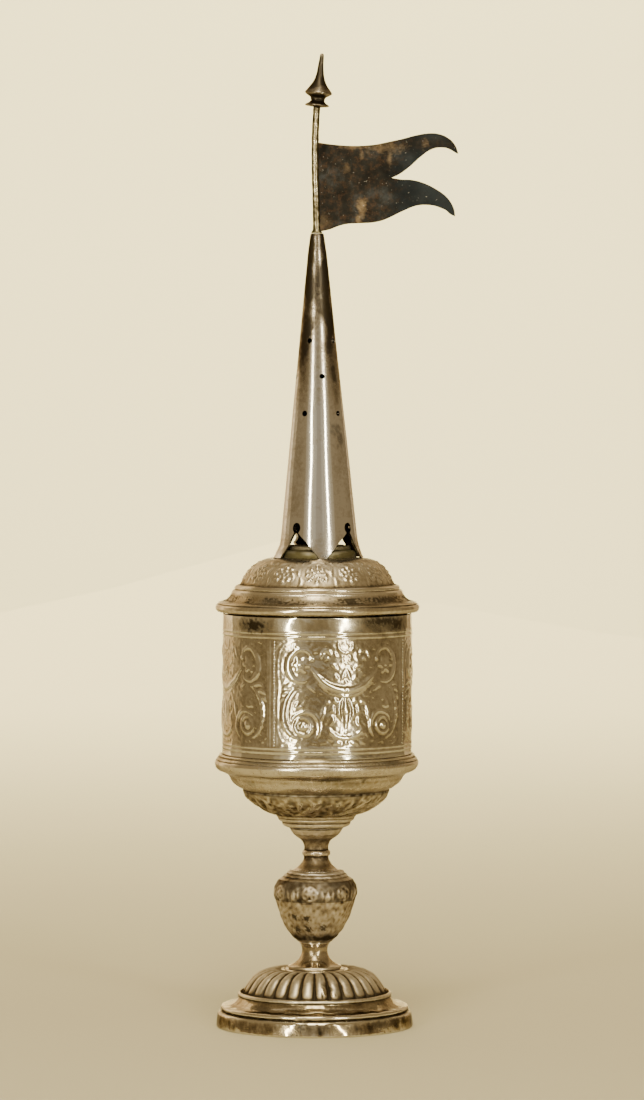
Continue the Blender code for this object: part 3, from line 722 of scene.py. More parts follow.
def drum_relief():
    """Half of a drum panel, from its middle line to its border: scrolls, flower, swag and leaves."""
    patch = Relief(18.4, 34.4, 0.12, 5)
    for half, height, *line in (
        (0.16, 0.14, (0, 28.7), (6, 28.7), (12.6, 28.7)),
        (0.2, 0.2, (12.6, 28.7), (14.8, 28.2), (16.4, 26.8), (17.0, 24.6)),
        (0.2, 0.2, (17.0, 24.6), (17.05, 16.0), (17.0, 7.6)),
        (0.2, 0.2, (17.0, 7.6), (16.5, 5.4), (15.0, 3.8), (12.8, 3.1)),
        (0.16, 0.14, (12.8, 3.1), (6, 3.1), (0, 3.1)),
    ):
        patch.stroke(line, (half,), height)
    upper = [(8.4, 24.4), (8.8, 25.8), (9.8, 26.6), (11.2, 26.8), (12.6, 26.2), (13.9, 24.8), (14.3, 22.8),
             (14.0, 20.9), (13.0, 19.5), (11.4, 18.8), (9.8, 19.0), (9.0, 19.7)]
    patch.stroke(upper, (0.25, 0.4, 0.55, 0.85, 0.95, 0.8, 0.45, 0.2), 0.55, 0.35)
    patch.dot(8.5, 24.3, 0.5, 0.45)
    patch.spiral(12.0, 27.2, 0.75, 0, 330, (0.22,), 0.35)
    patch.flower(11.1, 22.8, 2.1, 6, 0.5)
    patch.stroke([(9.0, 22.4), (6.9, 20.0), (5.3, 18.5), (3.3, 17.4), (1.6, 16.9), (0, 16.8)],
                 (0.15, 0.4, 0.7, 0.85, 0.9, 0.95), 0.6, 0.25)
    patch.stroke([(7.9, 19.6), (6.0, 17.8), (3.6, 16.1), (0, 15.3)], (0.12, 0.25, 0.3, 0.35), 0.3)
    patch.stroke([(1.85, 28.2), (1.75, 27.1), (1.1, 26.2), (0, 25.85)], (0.28, 0.3, 0.34, 0.38), 0.42)
    patch.stroke([(1.15, 19.5), (0.65, 20.8), (0.0, 22.1)], (0.3, 0.28, 0.2), 0.4)
    patch.stroke([(0, 20.2), (0.75, 20.2), (0.8, 20.2)], (0.2,), 0.3)
    for x, y, size in ((1.0, 24.9, 0.36), (0.95, 23.8, 0.36), (0.0, 23.2, 0.4), (0.0, 18.9, 0.35)):
        patch.dot(x, y, size, 0.4)
    for width, *line in (
        (0.5, (6.3, 24.2), (5.9, 25.8), (5.0, 27.3)),
        (0.5, (5.3, 26.6), (4.3, 26.4), (3.4, 25.0)),
        (0.4, (5.5, 23.6), (4.9, 24.7), (4.2, 23.8)),
        (0.42, (4.1, 23.3), (3.0, 22.6), (2.1, 21.4)),
        (0.42, (3.1, 20.9), (2.4, 19.9), (1.6, 19.3)),
        (0.35, (3.0, 26.6), (2.6, 25.4), (2.2, 24.4)),
        (0.45, (9.6, 17.9), (8.4, 17.4), (7.7, 16.2)),
        (0.6, (11.6, 17.4), (13.3, 17.9), (15.0, 17.9), (16.1, 17.0)),
        (0.5, (13.2, 16.5), (15.0, 16.6), (16.4, 15.5)),
        (0.4, (14.5, 15.0), (15.8, 14.9), (16.4, 13.8)),
        (0.4, (12.5, 12.2), (11.9, 13.4), (10.9, 14.3)),
        (0.35, (12.2, 12.6), (11.0, 12.7), (10.1, 13.3)),
        (0.65, (5.2, 13.5), (5.7, 11.9), (5.9, 10.5), (6.2, 9.0)),
        (0.35, (5.4, 13.2), (4.5, 14.1), (3.9, 13.3)),
        (0.45, (3.2, 15.0), (2.4, 14.1), (1.2, 13.4)),
        (0.4, (3.0, 13.3), (3.3, 12.2), (2.7, 11.0)),
        (0.42, (4.2, 10.9), (3.2, 9.9), (3.5, 8.6), (4.5, 8.2)),
        (0.36, (1.0, 3.7), (2.3, 4.0), (3.4, 3.5)),
    ):
        patch.leaf(line, width, 0.42)
    lower = [(11.6, 17.8), (13.0, 17.0), (14.0, 15.7), (14.8, 14.2), (15.2, 12.7), (15.4, 10.6), (15.1, 8.7),
             (14.4, 7.0), (13.0, 5.6), (11.3, 4.9)]
    patch.stroke(lower, (0.2, 0.4, 0.6, 0.75, 0.75, 0.6, 0.4, 0.18), 0.5, 0.3)
    inside = [(11.3, 17.0), (13.0, 15.4), (14.0, 12.6), (14.0, 9.8), (13.1, 7.5)]
    patch.stroke(inside, (0.1, 0.24, 0.26, 0.24, 0.1), 0.32)
    for x, y in ((14.9, 13.6), (15.3, 12.1), (15.4, 10.6), (15.2, 9.2), (14.6, 7.8)):
        patch.dot(x, y, 0.3, 0.72)
    patch.spiral(10.5, 8.0, 2.3, 40, 420, (0.2, 0.45, 0.5, 0.35), 0.5)
    patch.dot(10.5, 8.0, 1.05, 0.75)
    over = [(13.3, 8.9), (12.7, 10.2), (11.6, 11.0), (9.8, 11.5), (7.9, 11.0), (6.9, 9.7), (6.4, 8.1),
            (6.7, 6.5), (7.6, 4.9)]
    patch.stroke(over, (0.15, 0.35, 0.45, 0.5, 0.6, 0.6, 0.45, 0.15), 0.45, 0.2)
    patch.stroke([(0, 14.6), (0, 12.4), (0, 9.6), (0, 7.2)], (0.3, 0.8, 0.65, 0.2), 0.55, 0.4)
    patch.stroke([(0.8, 14.9), (1.7, 13.0), (1.8, 11.0), (0.9, 8.8)], (0.2, 0.5, 0.45, 0.15), 0.45, 0.2)
    under = [(4.3, 8.0), (3.8, 6.8), (2.8, 5.8), (1.4, 5.2), (0, 5.0)]
    patch.stroke(under, (0.15, 0.4, 0.5, 0.42, 0.5), 0.45, 0.2)
    patch.dot(0.0, 6.3, 0.4, 0.4)
    patch.dot(0.0, 3.9, 0.45, 0.4)
    return patch


def beside_each(turn, degrees):
    """Distance round the drum from the nearest of four lines, the first at that angle."""
    return ((degrees - turn + 45) % (360 / PANELS) - 45) * math.radians(1) * DRUM_R


def drum(material):
    inner = DRUM_R - 0.9
    skin = Turned(joined(
        (0.5, (inner, DRUM_TOP), (DRUM_R - 0.1, DRUM_TOP)),
        (0.2, (DRUM_R, DRUM_TOP - 0.2)),
        (0.25, (DRUM_R, DRUM_LOW)),
        (0.5, (inner, DRUM_LOW)),
        (7.0, (inner, DRUM_TOP)),
    )[:-1], DRUM_COLUMNS, turn=PANEL_TURN, closed=True)
    up = skin.z - DRUM_LOW - 0.25 + np.zeros_like(skin.lift)
    outside = skin.r > DRUM_R - 0.05
    points = skin.points()
    across, border = beside_each(PANEL_TURN, skin.degrees), beside_each(BORDER_TURN, skin.degrees)
    x = np.abs(across + 0.14 * ripples(points, 9.0, 51))
    y = up + 0.14 * ripples(points, 9.0, 52)
    zone = outside * limited((up - PANEL_LOW) / 0.4) * limited((PANEL_HIGH - up) / 0.4)
    skin.fineness = 0.34
    skin.carve(drum_relief(), x, y, zone, 0.60 + 0.12 * ripples(points, 14.0, 53))
    skin.ground *= np.abs(border) > 1.2
    strip = outside * (up > PANEL_LOW) * (up < PANEL_HIGH)
    skin.lift = np.where(np.abs(border) < 1.2, skin.lift * 0.2, skin.lift)
    for place in (-1.15, -0.6):
        skin.lift += strip * (0.09 * bump(border - place, 0.17) - 0.05 * bump(border - place - 0.28, 0.14))
    for height, width, size in ((29.5, 0.22, 0.13), (30.5, 0.2, 0.12), (2.5, 0.22, 0.13), (1.5, 0.22, 0.12)):
        skin.lift += outside * size * (bump(up - height, width) - 0.6 * bump(up - height + 0.42, 0.18))
    skin.lift += 0.02 * skin.ground * ripples(points, 1.3, 54, 24)
    skin.uneven(0.045, 9.0, 55)
    skin.uneven(0.015, 3.5, 56)
    skin.tarnish += 0.08 * outside * (skin.z > 98.5)
    skin.patches(
        (-41, 99.9, 3.6, 1.5, 0.95, 7), (43, 100.9, 6.0, 1.1, 0.9, 8), (56, 100.0, 3.2, 1.4, 0.9, 9),
        (46, 100.2, 8.0, 2.4, 0.5, 16), (10, 101.9, 4.0, 0.3, 0.6, 10), (20, 68.3, 8.0, 0.5, 0.5, 13),
        (140, 100.2, 5.0, 1.3, 0.8, 14), (-120, 100.4, 4.0, 1.2, 0.8, 15),
    )
    beads(material)
    skin.made("drum_relief", "drum", material)


def beads(material):
    """A row of small domes beside each border's lines, sunk a little in the drum."""
    sides, radius = 8, 0.31
    tilt = np.radians(np.linspace(90, -20, 5))
    reach = np.append(radius * np.cos(tilt), 0)[:, None]
    high = np.append(radius * np.sin(tilt), -0.4 * radius)[:, None]
    turns = np.arange(sides) * 2 * np.pi / sides
    dome = np.stack([reach * np.cos(turns), reach * np.sin(turns), high + 0 * turns], -1).reshape(-1, 3)
    faces = grid_faces(len(reach), sides)
    points, all_faces = [], []
    rng = np.random.default_rng(57)
    for panel in range(PANELS):
        for z in np.arange(DRUM_LOW + 3.4, DRUM_LOW + 29.2, BEAD_STEP):
            turn = math.radians(BORDER_TURN + 1.7 + 360 / PANELS * panel + rng.normal() * 0.1)
            size = 1 + 0.06 * rng.normal()
            out = np.array((math.sin(turn), -math.cos(turn), 0))
            axes = np.array([(math.cos(turn), math.sin(turn), 0), (0, 0, 1), out * 0.5])
            place = out * (DRUM_R + 0.02) + (0, 0, z + 0.03 * rng.normal())
            all_faces.append(faces + len(points) * len(dome))
            points.append(place + size * dome @ axes)
    tarnish = np.tile(np.where(dome[:, 2] < 0.1, 0.4, -0.3), len(points))
    points, faces = np.concatenate(points), np.concatenate(all_faces)
    made_piece("drum_beads", ("drum",), points, faces, {"tarnish": tarnish}, material)


# Lid

def dome_relief():
    """One of the dome's thirteen units: a rosette with sprays beside and over it."""
    patch = Relief(DOME_UNIT_W, 10.0, 0.12, 4, repeats=True)
    x, y = DOME_UNIT_W / 2, 4.3
    for count, reach, size in ((8, 2.05, 0.56), (5, 1.0, 0.42), (1, 0.0, 0.4)):
        for n in range(count):
            turn = 2 * math.pi * n / count
            patch.dot(x + reach * math.cos(turn), y + reach * math.sin(turn), size, 0.55)
    for turn in range(15, 375, 60):
        patch.spiral(x, y, 3.1, turn, turn + 46, (0.12, 0.3, 0.1), 0.3)
    for width, *line in (
        (0.5, (0.2, 0.8), (0.6, 2.2), (0.2, 3.8)),
        (0.5, (8.0, 3.6), (7.6, 5.2), (8.1, 6.8)),
        (0.45, (1.2, 6.9), (2.2, 7.9), (3.7, 8.2)),
        (0.45, (6.9, 7.0), (6.0, 8.0), (4.7, 8.4)),
        (0.4, (0.3, 7.2), (0.0, 8.0), (0.4, 8.9)),
    ):
        patch.leaf(line, width, 0.3)
    return patch


def lid(material):
    bezel = 22.15
    skin = Turned(joined(
        (2.0, (0, 115.8), (8.8, 115.8)),
        (0.4, (11.0, 115.7), (12.7, 115.5)),
        (0.25, (13.8, 115.15), (14.9, 114.55), (15.9, 113.8), (16.8, 112.85), (17.5, 111.9), (18.1, 110.9),
         (18.7, 109.9), (19.1, 109.2)),
        (0.13, (19.8, 109.05), (20.25, 108.75), (20.4, 108.35), (20.3, 108.05)),
        (0.13, (20.8, 107.85), (21.1, 107.5), (21.15, 107.2)),
        (0.2, (21.4, 106.6), (21.9, 105.95), (22.8, 105.3), (23.9, 104.95), (24.5, 104.75)),
        (0.12, (24.62, 104.55), (24.6, 104.4)),
        (0.14, (25.0, 104.2), (25.18, 103.7), (25.13, 103.2), (24.85, 102.75)),
        (0.2, (24.4, 102.5), (23.6, 102.4)),
        (0.7, (bezel, 102.35)),
        (1.2, (bezel, 98.8)),
        (0.9, (bezel - 0.9, 98.8)),
        (1.8, (21.25, 104.2)),
        (1.8, (18.6, 107.9)),
        (1.8, (16.6, 111.6), (12.2, 114.4)),
        (2.4, (0, 114.7)),
    ), DOME_UNITS * 43, turn=DOME_TURN)
    outside = (skin.z > 109.0) & (skin.r > 12.2) & (skin.out_r > 0)
    arc = skin.arc()
    up = arc[np.flatnonzero(outside)[-1]] - arc + np.zeros_like(skin.lift)
    across = ((skin.degrees - DOME_TURN) * DOME_UNITS / 360 + 0.5) % 1 * DOME_UNIT_W
    wobble = 0.16 * skin.waves(7.0, 61)
    carved = outside * limited((up - 0.2) / 0.4) * limited((8.6 - up) / 0.6)
    skin.carve(dome_relief(), across + wobble, up + wobble, carved, 0.62)
    skin.uneven(0.04, 8.0, 62)
    skin.tarnish -= 0.22 * (skin.z > 105.0) * (skin.out_r > -0.2)
    skin.dull += 0.2 + 0.45 * skin.ground - 0.3 * (skin.z < 104.9)
    skin.tarnish += 0.26 * (skin.z < 104.9) + 0.08 * (skin.z > 109.0)
    cove = skin.span(104.9, 106.9, 0.4)
    grime = skin.waves(0.8, 63, 40) + 0.8 * skin.waves(8.0, 64)
    skin.darken(cove * 0.9 * limited(grime * 1.6))
    # The thin band on the flange's upper shoulder is a painted dark reflection line; the band at the top is
    # a dark joint round the collar.
    skin.dirt_and_shade((104.35, 104.6, 0.9, 0.12), (114.7, 116.0, 0.45, 0.5))
    skin.patches((52, 106.0, 5.0, 0.7, 0.8, 65), (-30, 105.8, 3.5, 0.6, 0.8, 66))
    skin.made("lid_relief", "lid", material)


def lid_collar(material):
    """The low stepped ring that the spire stands round."""
    skin = Turned(joined(
        (1.5, (0, 118.75), (7.6, 118.75)),
        (0.15, (7.85, 118.6), (7.9, 118.2), (7.85, 117.7)),
        (0.2, (8.3, 117.6), (9.1, 117.55)),
        (0.15, (9.4, 117.3), (9.5, 116.6), (9.4, 115.75)),
        (1.5, (0, 115.7)),
    ), 120)
    skin.uneven(0.05, 4.0, 67)
    upper = skin.z > 117.58
    skin.tarnish += 0.5 * upper
    skin.stain_and_shade = limited(0.95 - 0.18 * upper + 0.15 * skin.waves(3.0, 68))
    skin.made("lid_collar", "lid", material)


# Spire

def keyhole():
    """A keyhole opening: a round top over a skirt that spreads wider to its right."""
    turns = np.radians(np.linspace(-52, 232, 24))
    top = np.stack([1.08 * np.cos(turns), 7.4 + 1.3 * np.sin(turns)], -1)
    down = (6.15, 5.2, 4.2, 3.1, 1.9, 0.7, -0.8)
    wide = along(list(zip((0.6, 1.5, 2.6, 3.5, 4.5, 5.5, 6.3), down)), 0.5)
    narrow = along(list(zip((-0.6, -1.2, -1.7, -2.2, -2.9, -3.6, -4.1), down)), 0.5)
    return np.concatenate([top, narrow, wide[::-1]])


def prism(name, outline, middle, depth, turn):
    """A cutter of that outline, standing up and pointing at the axis from the given side."""
    count = len(outline)
    bm = bmesh.new()
    rings = []
    for y in (-middle - depth / 2, -middle + depth / 2):
        rings.append([bm.verts.new((x * MM, y * MM, z * MM)) for x, z in outline])
    bm.faces.new(rings[0])
    bm.faces.new(rings[1][::-1])
    for i in range(count):
        j = (i + 1) % count
        bm.faces.new((rings[0][j], rings[0][i], rings[1][i], rings[1][j]))
    bmesh.ops.recalc_face_normals(bm, faces=bm.faces)
    mesh = bpy.data.meshes.new(name)
    bm.to_mesh(mesh)
    bm.free()
    obj = bpy.data.objects.new(name, mesh)
    obj.location.x = (AXIS_X + lean(outline[:, 1].mean())) * MM
    obj.rotation_euler.z = math.radians(turn)
    return obj


def spire_cutters():
    """Four keyholes, each lower, turned and widened in its own way, and small holes in three rows."""
    cutters = []
    shifts = ((0.0, -2.0, -1.1), (1.3, 5.0, 1.1), (2.8, -6.0, -1.4), (0.0, 1.0, 1.05))
    for k, (drop, turn, wide) in enumerate(shifts):
        sided = keyhole() * (wide, 1) + (0, SPIRE_BASE - drop)
        cutters.append(prism("opening", sided, middle=11.0, depth=9.0, turn=OPENING_TURN + turn + 90 * k))
    turns = np.radians(np.arange(0, 360, 30))
    circle = np.stack([np.cos(turns), np.sin(turns)], -1)
    holes = [(169.1, -26), (169.1, 55), (160.4, 11), (151.3, -32), (151.3, 50), (169.1, 154),
             (169.1, 235), (160.4, 101), (160.4, 191), (160.4, 281), (151.3, 148), (151.3, 230)]
    for n, (z, turn) in enumerate(holes):
        size = 0.7 + 0.06 * math.sin(3 * n)
        cutters.append(prism("hole", circle * size + (0, z), middle=5.0, depth=7.0, turn=turn))
    return cutters


def straight_in_front(points):
    """Takes most of the flare out of the spire's foot where it faces front."""
    x, y, z = points[..., 0], points[..., 1], points[..., 2]
    flare = np.interp(z, (SPIRE_BASE, 116.9, 118.0, 119.2, 120.4), (1.18, 0.74, 0.40, 0.13, 0.0))
    inward = 0.75 * flare * bump(np.degrees(np.arctan2(x, -y)) - 7.0, 38.0)
    share = 1 - inward / np.maximum(np.hypot(x, y), 8.0)
    return np.stack([x * share, y * share, z], -1)


def spire(material):
    base, top = SPIRE_BASE, SPIRE_TOP
    skin = Turned(joined(
        (0.5, (0, top), (1.45, top)),
        (0.2, (1.65, top - 0.2)),
        (0.7, (2.3, 190.6)),
        (0.7, (9.5, 120.4)),
        (0.3, (9.75, 119.2), (10.15, 118.0), (10.6, 116.9), (11.15, base)),
        (0.4, (10.45, base)),
        (0.8, (9.85, 117.2), (9.2, 118.6), (8.75, 120.4)),
        (3.0, (1.0, 193.6)),
        (1.0, (0, 193.6)),
    ), 200)
    outer = (skin.out_r > 0.5) & (skin.r > 1.3)
    skin.lift += outer * 0.022 * skin.waves(6.0, 71, squeeze=0.25)
    side, left = np.abs(np.sin(skin.turn)), np.sin(skin.turn) < 0
    upper = limited((skin.z - 151.0) / 23.0)
    uneven = 1 + 0.35 * skin.waves(4.0, 72, 24, squeeze=0.4)
    # The flanks as seen from the front are darkened, the left more: painted dark reflections, over the
    # tarnished upper part.
    skin.tarnish += outer * upper * (0.74 + (0.15 + 0.2 * left) * bump(side - 0.66, 0.3)) * uneven
    skin.tarnish += outer * 0.16 * bump(side - 0.72, 0.22) * uneven
    skin.tarnish += outer * 0.3 * bump(skin.z - base, 2.5)
    near = ((skin.degrees - OPENING_TURN + 45) % 90 - 45) * math.radians(1) * skin.r
    skin.tarnish -= outer * 0.4 * bump(near, 2.6) * (skin.z < base + 10)
    # The whole inside is stained dark: painted shade for the unlit inside of the spire.
    skin.darken((skin.out_r < 0) & (skin.z < 193.0))
    skin.patches(
        (-40, 190.5, 1.0, 3.5, 0.9, 460), (-55, 182.0, 0.9, 6.0, 0.9, 445), (-38, 176.0, 0.9, 5.0, 0.8, 462),
        (-45, 168.5, 1.2, 1.4, 0.7, 455), (-55, 164.0, 1.0, 3.0, 0.7, 445), (42, 180.0, 1.0, 4.5, 0.8, 542),
        (45, 161.0, 0.9, 2.5, 0.8, 545), (40, 147.5, 1.6, 1.2, 0.5, 540), (50, 145.0, 1.0, 2.0, 0.5, 550),
        (10, 176.0, 0.8, 2.0, 0.4, 510), (9, 116.5, 1.4, 0.35, 0.7, 509), (120, 170.0, 1.4, 7.0, 0.7, 620),
        (200, 155.0, 1.8, 4.0, 0.5, 700),
    )
    obj = skin.made("spire_pierced", "spire", material, straight_in_front)
    pierce(obj, spire_cutters())


def pierce(obj, cutters):
    """Cuts openings through a piece, and keeps their edges crisp."""
    collection = bpy.data.collections.new("cutters")
    for cutter in cutters:
        collection.objects.link(cutter)
    boolean = obj.modifiers.new("pierced", "BOOLEAN")
    boolean.operand_type = "COLLECTION"
    boolean.collection = collection
    boolean.solver = "EXACT"
    bpy.context.view_layer.update()
    shown = obj.evaluated_get(bpy.context.evaluated_depsgraph_get())
    mesh = bpy.data.meshes.new_from_object(shown)
    obj.modifiers.clear()
    obj.data = mesh
    for cutter in cutters:
        bpy.data.objects.remove(cutter, do_unlink=True)
    bpy.data.collections.remove(collection)
    mesh.shade_smooth()
    mesh.set_sharp_from_angle(angle=math.radians(38))


# Rod, pennant and finial

def rod_x(z):
    return -0.1 - 0.4 * math.sin(math.pi * (z / 30.6) ** 1.6)


def rod(material):
    """A drawn rod, hand filed, bowed a little away from the pennant."""
    rows, sides, length = 70, 20, 31.0
    turns = np.arange(sides) * 2 * np.pi / sides
    rings = []
    for row in range(rows + 1):
        z = length * row / rows
        size = 0.88 + 0.02 * math.sin(z * 1.7) + 0.015 * math.sin(z * 5.3)
        size += 0.5 * bump(z, 0.5)
        filed = size * (1 - 0.03 * np.cos(6 * turns + z * 0.1))
        rings.append(np.stack([rod_x(z) + filed * np.sin(turns), -filed * np.cos(turns), z + 0 * turns], -1))
    ends = [rings[0] * (0, 0, 1) + (rod_x(0), 0, 0), rings[-1] * (0, 0, 1) + (rod_x(length), 0, 0)]
    grid = np.stack([ends[0], *rings, ends[1]])[::-1]
    points = grid.reshape(-1, 3) + (0, 0, ROD_BASE)
    side = np.tile(np.abs(np.sin(turns)), len(grid))
    # The flanks as seen from the front are darkened and stained: painted shade on the rod's sides, over
    # random tarnished patches and a dark joint at its foot.
    fields = {
        "tarnish": 0.25 * ripples(points, 1.6, 81, 24) + 0.6 * side,
        "stain_and_shade": 0.75 * side ** 3 + 0.25 * bump(points[:, 2] - ROD_BASE, 1.5),
    }
    faces = grid_faces(len(grid), sides)
    made_piece("rod_drawn", ("rod",), points, faces, fields, material)


def stepped(*lines):
    """A line from parts of the pennant's outline, each cut in its own number of even steps."""
    parts = []
    for count, line in lines:
        fine = along(np.array(line) * (PENNANT_REACH, PENNANT_HOIST), 0.1)
        at = distances(fine)
        want = np.linspace(0, at[-1], count + 1)[bool(parts):]
        parts.append(np.stack([np.interp(want, at, fine[:, 0]), np.interp(want, at, fine[:, 1])], -1))
    return np.concatenate(parts)


def pennant_strips(steps):
    """The upper and lower edges of two strips that meet at the notch, as shares of reach and hoist."""
    top = [(0.004, 1.0), (0.09, 0.98), (0.2, 0.965), (0.305, 0.963), (0.41, 0.976), (0.517, 1.01),
           (0.6, 1.04), (0.69, 1.078), (0.765, 1.1), (0.836, 1.102), (0.88, 1.086), (0.92, 1.055),
           (0.955, 1.01), (0.98, 0.95), (0.996, 0.872)]
    notch_up = [(0.996, 0.872), (0.975, 0.886), (0.942, 0.919), (0.907, 0.94), (0.872, 0.944),
                (0.836, 0.938), (0.8, 0.917), (0.73, 0.839), (0.66, 0.737), (0.6, 0.662), (0.555, 0.62),
                (0.525, 0.6)]
    notch_down = [(0.525, 0.6), (0.588, 0.583), (0.66, 0.577), (0.71, 0.562), (0.765, 0.532), (0.836, 0.475),
                  (0.907, 0.395), (0.942, 0.327), (0.965, 0.25), (0.974, 0.165)]
    bottom = [(0.974, 0.165), (0.942, 0.188), (0.907, 0.236), (0.87, 0.262), (0.836, 0.281), (0.78, 0.294),
              (0.73, 0.293), (0.69, 0.281), (0.64, 0.25), (0.588, 0.213), (0.517, 0.156), (0.46, 0.118),
              (0.41, 0.099), (0.305, 0.088), (0.2, 0.076), (0.15, 0.055), (0.09, 0.018), (0.004, -0.012)]
    middle = [(0.004, 0.55), (0.25, 0.58), (0.525, 0.6)]
    outer = 80
    inner = steps - outer
    return (
        (stepped((steps, top)), stepped((inner, middle), (outer, notch_up[::-1]))),
        (stepped((inner, middle), (outer, notch_down)), stepped((steps, bottom[::-1]))),
    )


def pennant(material):
    """A cut sheet in two strips, each lofted between its edges and gently waved."""
    steps, across = 150, 44
    share = np.linspace(0, 1, across + 1)[:, None, None]
    sheets = [high * (1 - share) + low * share for high, low in pennant_strips(steps)]
    faces = grid_faces(across + 1, steps + 1, open_sides=True)
    faces = np.concatenate([faces, faces + (across + 1) * (steps + 1)])
    flat = np.concatenate(sheets).reshape(-1, 2)
    x, z = flat[:, 0], flat[:, 1] + PENNANT_BASE
    wave = 0.28 * np.sin(x * 0.22 + 0.6) * limited(x / 8) + 0.10 * np.sin(x * 0.5 + z * 0.45)
    solid = np.stack([x, wave * limited(x / 3), z], -1)
    stain_and_shade = np.zeros(len(solid))
    ragged = 0.35 * ripples(solid, 2.0, 91, 30) + 0.25 * ripples(solid, 0.7, 92, 30)
    for sx, sz, wide, high, amount in (
        (11.0, 202.0, 1.1, 2.2, 0.75), (10.2, 198.2, 0.7, 2.0, 0.6), (17.9, 213.6, 0.5, 1.6, 0.5),
        (11.0, 214.6, 0.5, 0.9, 0.45), (26.5, 217.4, 0.7, 1.1, 0.4), (9.0, 216.6, 3.0, 0.5, 0.5),
        (16.5, 216.4, 4.0, 1.1, 0.45), (7.5, 211.5, 0.7, 1.0, 0.35), (1.6, 198.0, 1.4, 2.0, 0.3),
    ):
        away = np.hypot((x - sx) / wide, (z - sz) / high) + ragged
        stain_and_shade = np.maximum(stain_and_shade, amount * limited((1.4 - away) * 0.8))
    rust = np.clip((22.0 - x) / 7.0 + 0.5 * ragged, 0.12, 1) + 0.5 * bump(z - 217.5, 1.6)
    fields = {"stain_and_shade": stain_and_shade, "rust": rust}
    obj = made_piece("pennant_sheet", ("pennant",), solid, faces, fields, material)
    thick = obj.modifiers.new("thick", "SOLIDIFY")
    thick.thickness = 0.5 * MM
    thick.offset = 0.0


def finial(material):
    skin = Turned(joined(
        (0.1, (0, 13.2), (0.3, 13.1), (0.5, 12.75)),
        (0.2, (0.6, 11.2), (0.73, 9.7), (0.92, 8.4), (1.15, 7.2), (1.62, 6.0), (2.15, 5.15), (2.75, 4.35),
         (3.25, 3.7)),
        (0.1, (3.35, 3.4), (3.1, 3.1)),
        (0.15, (2.5, 2.7), (1.95, 2.35), (1.75, 2.05)),
        (0.12, (1.8, 1.8), (1.62, 1.6), (1.75, 1.4)),
        (0.15, (2.2, 0.95), (2.75, 0.65), (2.95, 0.5)),
        (0.1, (2.95, 0.3), (2.7, 0.18)),
        (0.3, (1.3, 0.0), (0, 0.0)),
    ), 72)
    skin.uneven(0.03, 3.0, 101)
    skin.tarnish += 0.36 - 0.25 * (skin.z > 9.5)
    skin.made("finial_turned", "finial", material, leaning)


def leaning(points):
    """Tips the finial over and sets it on the rod."""
    turn = np.array(Matrix.Rotation(math.radians(FINIAL_LEAN), 3, "Y"))
    return points @ turn.T + (0, 0, FINIAL_BASE)


# Stage, lights and camera

def stage():
    """Pale paper that starts just in front of the tower and sweeps up behind it, low enough to see over."""
    near, start, width, bend, steepest = -0.34, 1.1, 0.42, 0.5, 76.0
    line = [(near, 0.0), (start, 0.0)]
    for turn in np.radians(np.linspace(0, steepest, 13)[1:]):
        line.append((start + bend * math.sin(turn), bend - bend * math.cos(turn)))
    points = [(x, y, z) for x in (-width, width) for y, z in line]
    count = len(line)
    mesh = bpy.data.meshes.new("sweep")
    mesh.from_pydata(points, [], [(i + count, i + 1 + count, i + 1, i) for i in range(count - 1)])
    mesh.shade_smooth()
    obj = bpy.data.objects.new("sweep", mesh)
    bpy.context.scene.collection.objects.link(obj)
    mesh.materials.append(matt("pale_paper", (0.70, 0.66, 0.487)))


def area_light(name, place, target, size, radiance, color, roll=0.0):
    """A rectangular lamp of that brightness, turned to face a point and rolled by that angle."""
    data = bpy.data.lights.new(name, "AREA")
    data.shape = "RECTANGLE"
    data.size, data.size_y = size
    data.energy = radiance * math.pi * size[0] * size[1]
    data.color = color
    obj = bpy.data.objects.new(name, data)
    obj.location = place
    way = np.array(target) - np.array(place)
    flat = math.hypot(way[0], way[1])
    facing = Euler((math.pi / 2 + math.atan2(way[2], flat), 0, math.atan2(-way[0], way[1]))).to_matrix()
    obj.rotation_euler = (facing @ Matrix.Rotation(math.radians(roll), 3, "Z")).to_euler()
    bpy.context.scene.collection.objects.link(obj)


def round_tower(turn, away, height, half):
    """A place at that angle round the tower, and the width that spans half an angle to either side."""
    turn = math.radians(turn)
    place = (away * math.sin(turn), -away * math.cos(turn), height)
    return place, 2 * away * math.tan(math.radians(half))


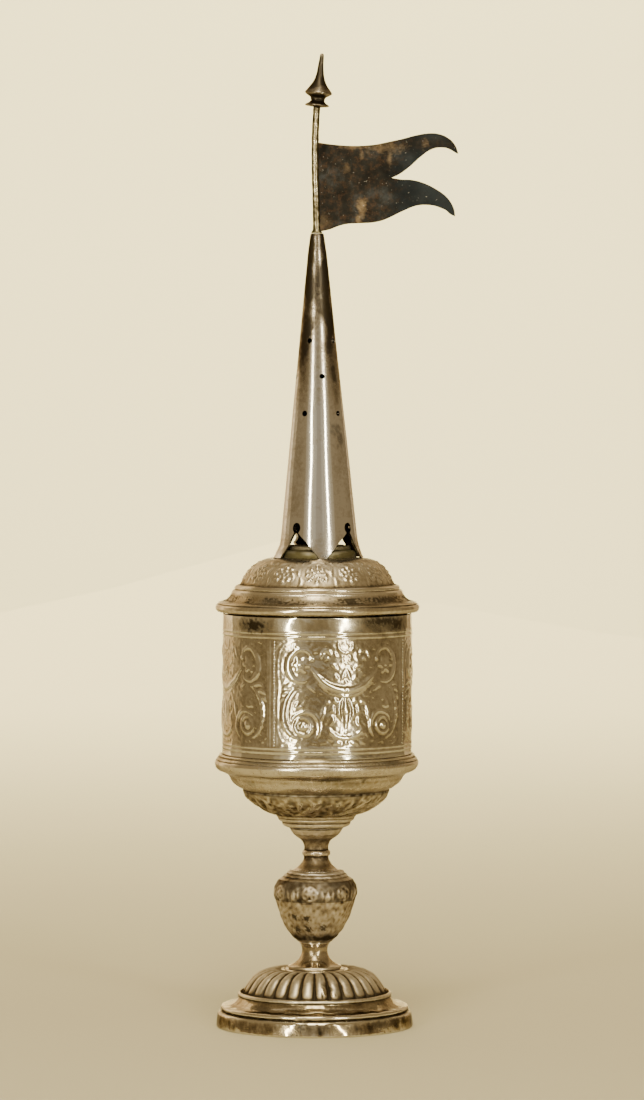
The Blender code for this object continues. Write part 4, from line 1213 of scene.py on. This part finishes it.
def lights():
    """Two tall narrow lamps in front that lean together, each with a dim glow round it, one over the
    camera, broad dim ones above, in front and behind, and one on the wall."""
    for center, roll in ((-31.0, -14.0), (32.3, 16.0)):
        for half, radiance in ((1.6, 42.0), (5.0, 1.3), (12.0, 0.35), (20.0, 0.16)):
            place, width = round_tower(center, 1.5, 0.22, half)
            area_light("strip", place, (0.0, 0.0, 0.22), (width, 1.12), radiance, (1.0, 0.92, 0.66), roll)
    for center, half, radiance in ((-153, 27, 1.5), (-136, 30, 0.35), (158, 20, 0.8)):
        place, width = round_tower(center, 1.2, 0.3, half)
        area_light("behind", place, (0.0, 0.0, 0.2), (width, 1.2), radiance, (1.0, 0.76, 0.42))
    area_light("card", (-0.045, -0.80, 1.15), (-0.0048, 0.0, 0.10), (0.46, 1.0), 8.5, (1.0, 0.867, 0.58))
    area_light("front", (0.0, -2.2, 0.45), (0.0, 0.0, 0.10), (1.3, 0.9), 0.14, (0.9, 1.0, 0.95))
    area_light("ceiling", (0.0, 0.1, 1.5), (0.0, 0.0, 0.0), (1.4, 1.4), 0.45, (1.0, 0.88, 0.66))
    area_light("wall", (0.0, 1.0, 1.3), (0.0, 1.8, 0.7), (1.4, 0.8), 21.6, (1.0, 0.895, 0.555))
    world = bpy.data.worlds.new("room")
    world.use_nodes = True
    world.node_tree.nodes["Background"].inputs["Color"].default_value = (0.37, 0.27, 0.133, 1.0)
    bpy.context.scene.world = world


def camera():
    """Level with the middle of the spire, looking slightly down, as in the photograph."""
    view_angle, down = 12.88, 2.19
    data = bpy.data.cameras.new("camera")
    data.sensor_width = 36.0
    data.lens = data.sensor_width / 2 / math.tan(math.radians(view_angle / 2))
    data.clip_start, data.clip_end = 0.05, 20.0
    obj = bpy.data.objects.new("camera", data)
    obj.location = (-0.0036, -1.2, 0.1635)
    obj.rotation_euler = (math.radians(90 - down), 0, 0)
    bpy.context.scene.collection.objects.link(obj)
    bpy.context.scene.camera = obj


def main():
    plain = silver("drum_silver", 0.105, 0.17, tint=(1.0, 1.0, 0.92))
    warm = silver("old_silver", 0.21, 0.35, tint=(0.97, 0.93, 0.82))
    brown = silver("brown_silver", 0.28, 0.50, tint=(1.0, 0.96, 0.90), beaten=0.006)
    smooth = silver("smooth_silver", 0.16, 0.18, tint=(0.97, 1.0, 1.08))
    dark = silver("finial_silver", 0.16, 0.95, tint=(1.0, 1.04, 1.12), beaten=0.006)
    camera()
    lights()
    stage()
    foot(warm)
    stem_collar(silver("stem_silver", 0.17, 0.42, tint=(1.0, 0.95, 0.85), beaten=0.002, flecks=0.3))
    knop(brown)
    neck(brown)
    bowl(warm)
    drum(plain)
    lid(warm)
    lid_collar(silver("collar_silver", 0.5, 0.45, (0.15, 0.132, 0.068)))
    spire(smooth)
    rod(silver("rod_silver", 0.2, 0.42, (0.10, 0.095, 0.045), (1.0, 1.01, 0.86)))
    pennant(sooty("sooty_silver"))
    finial(dark)


main()
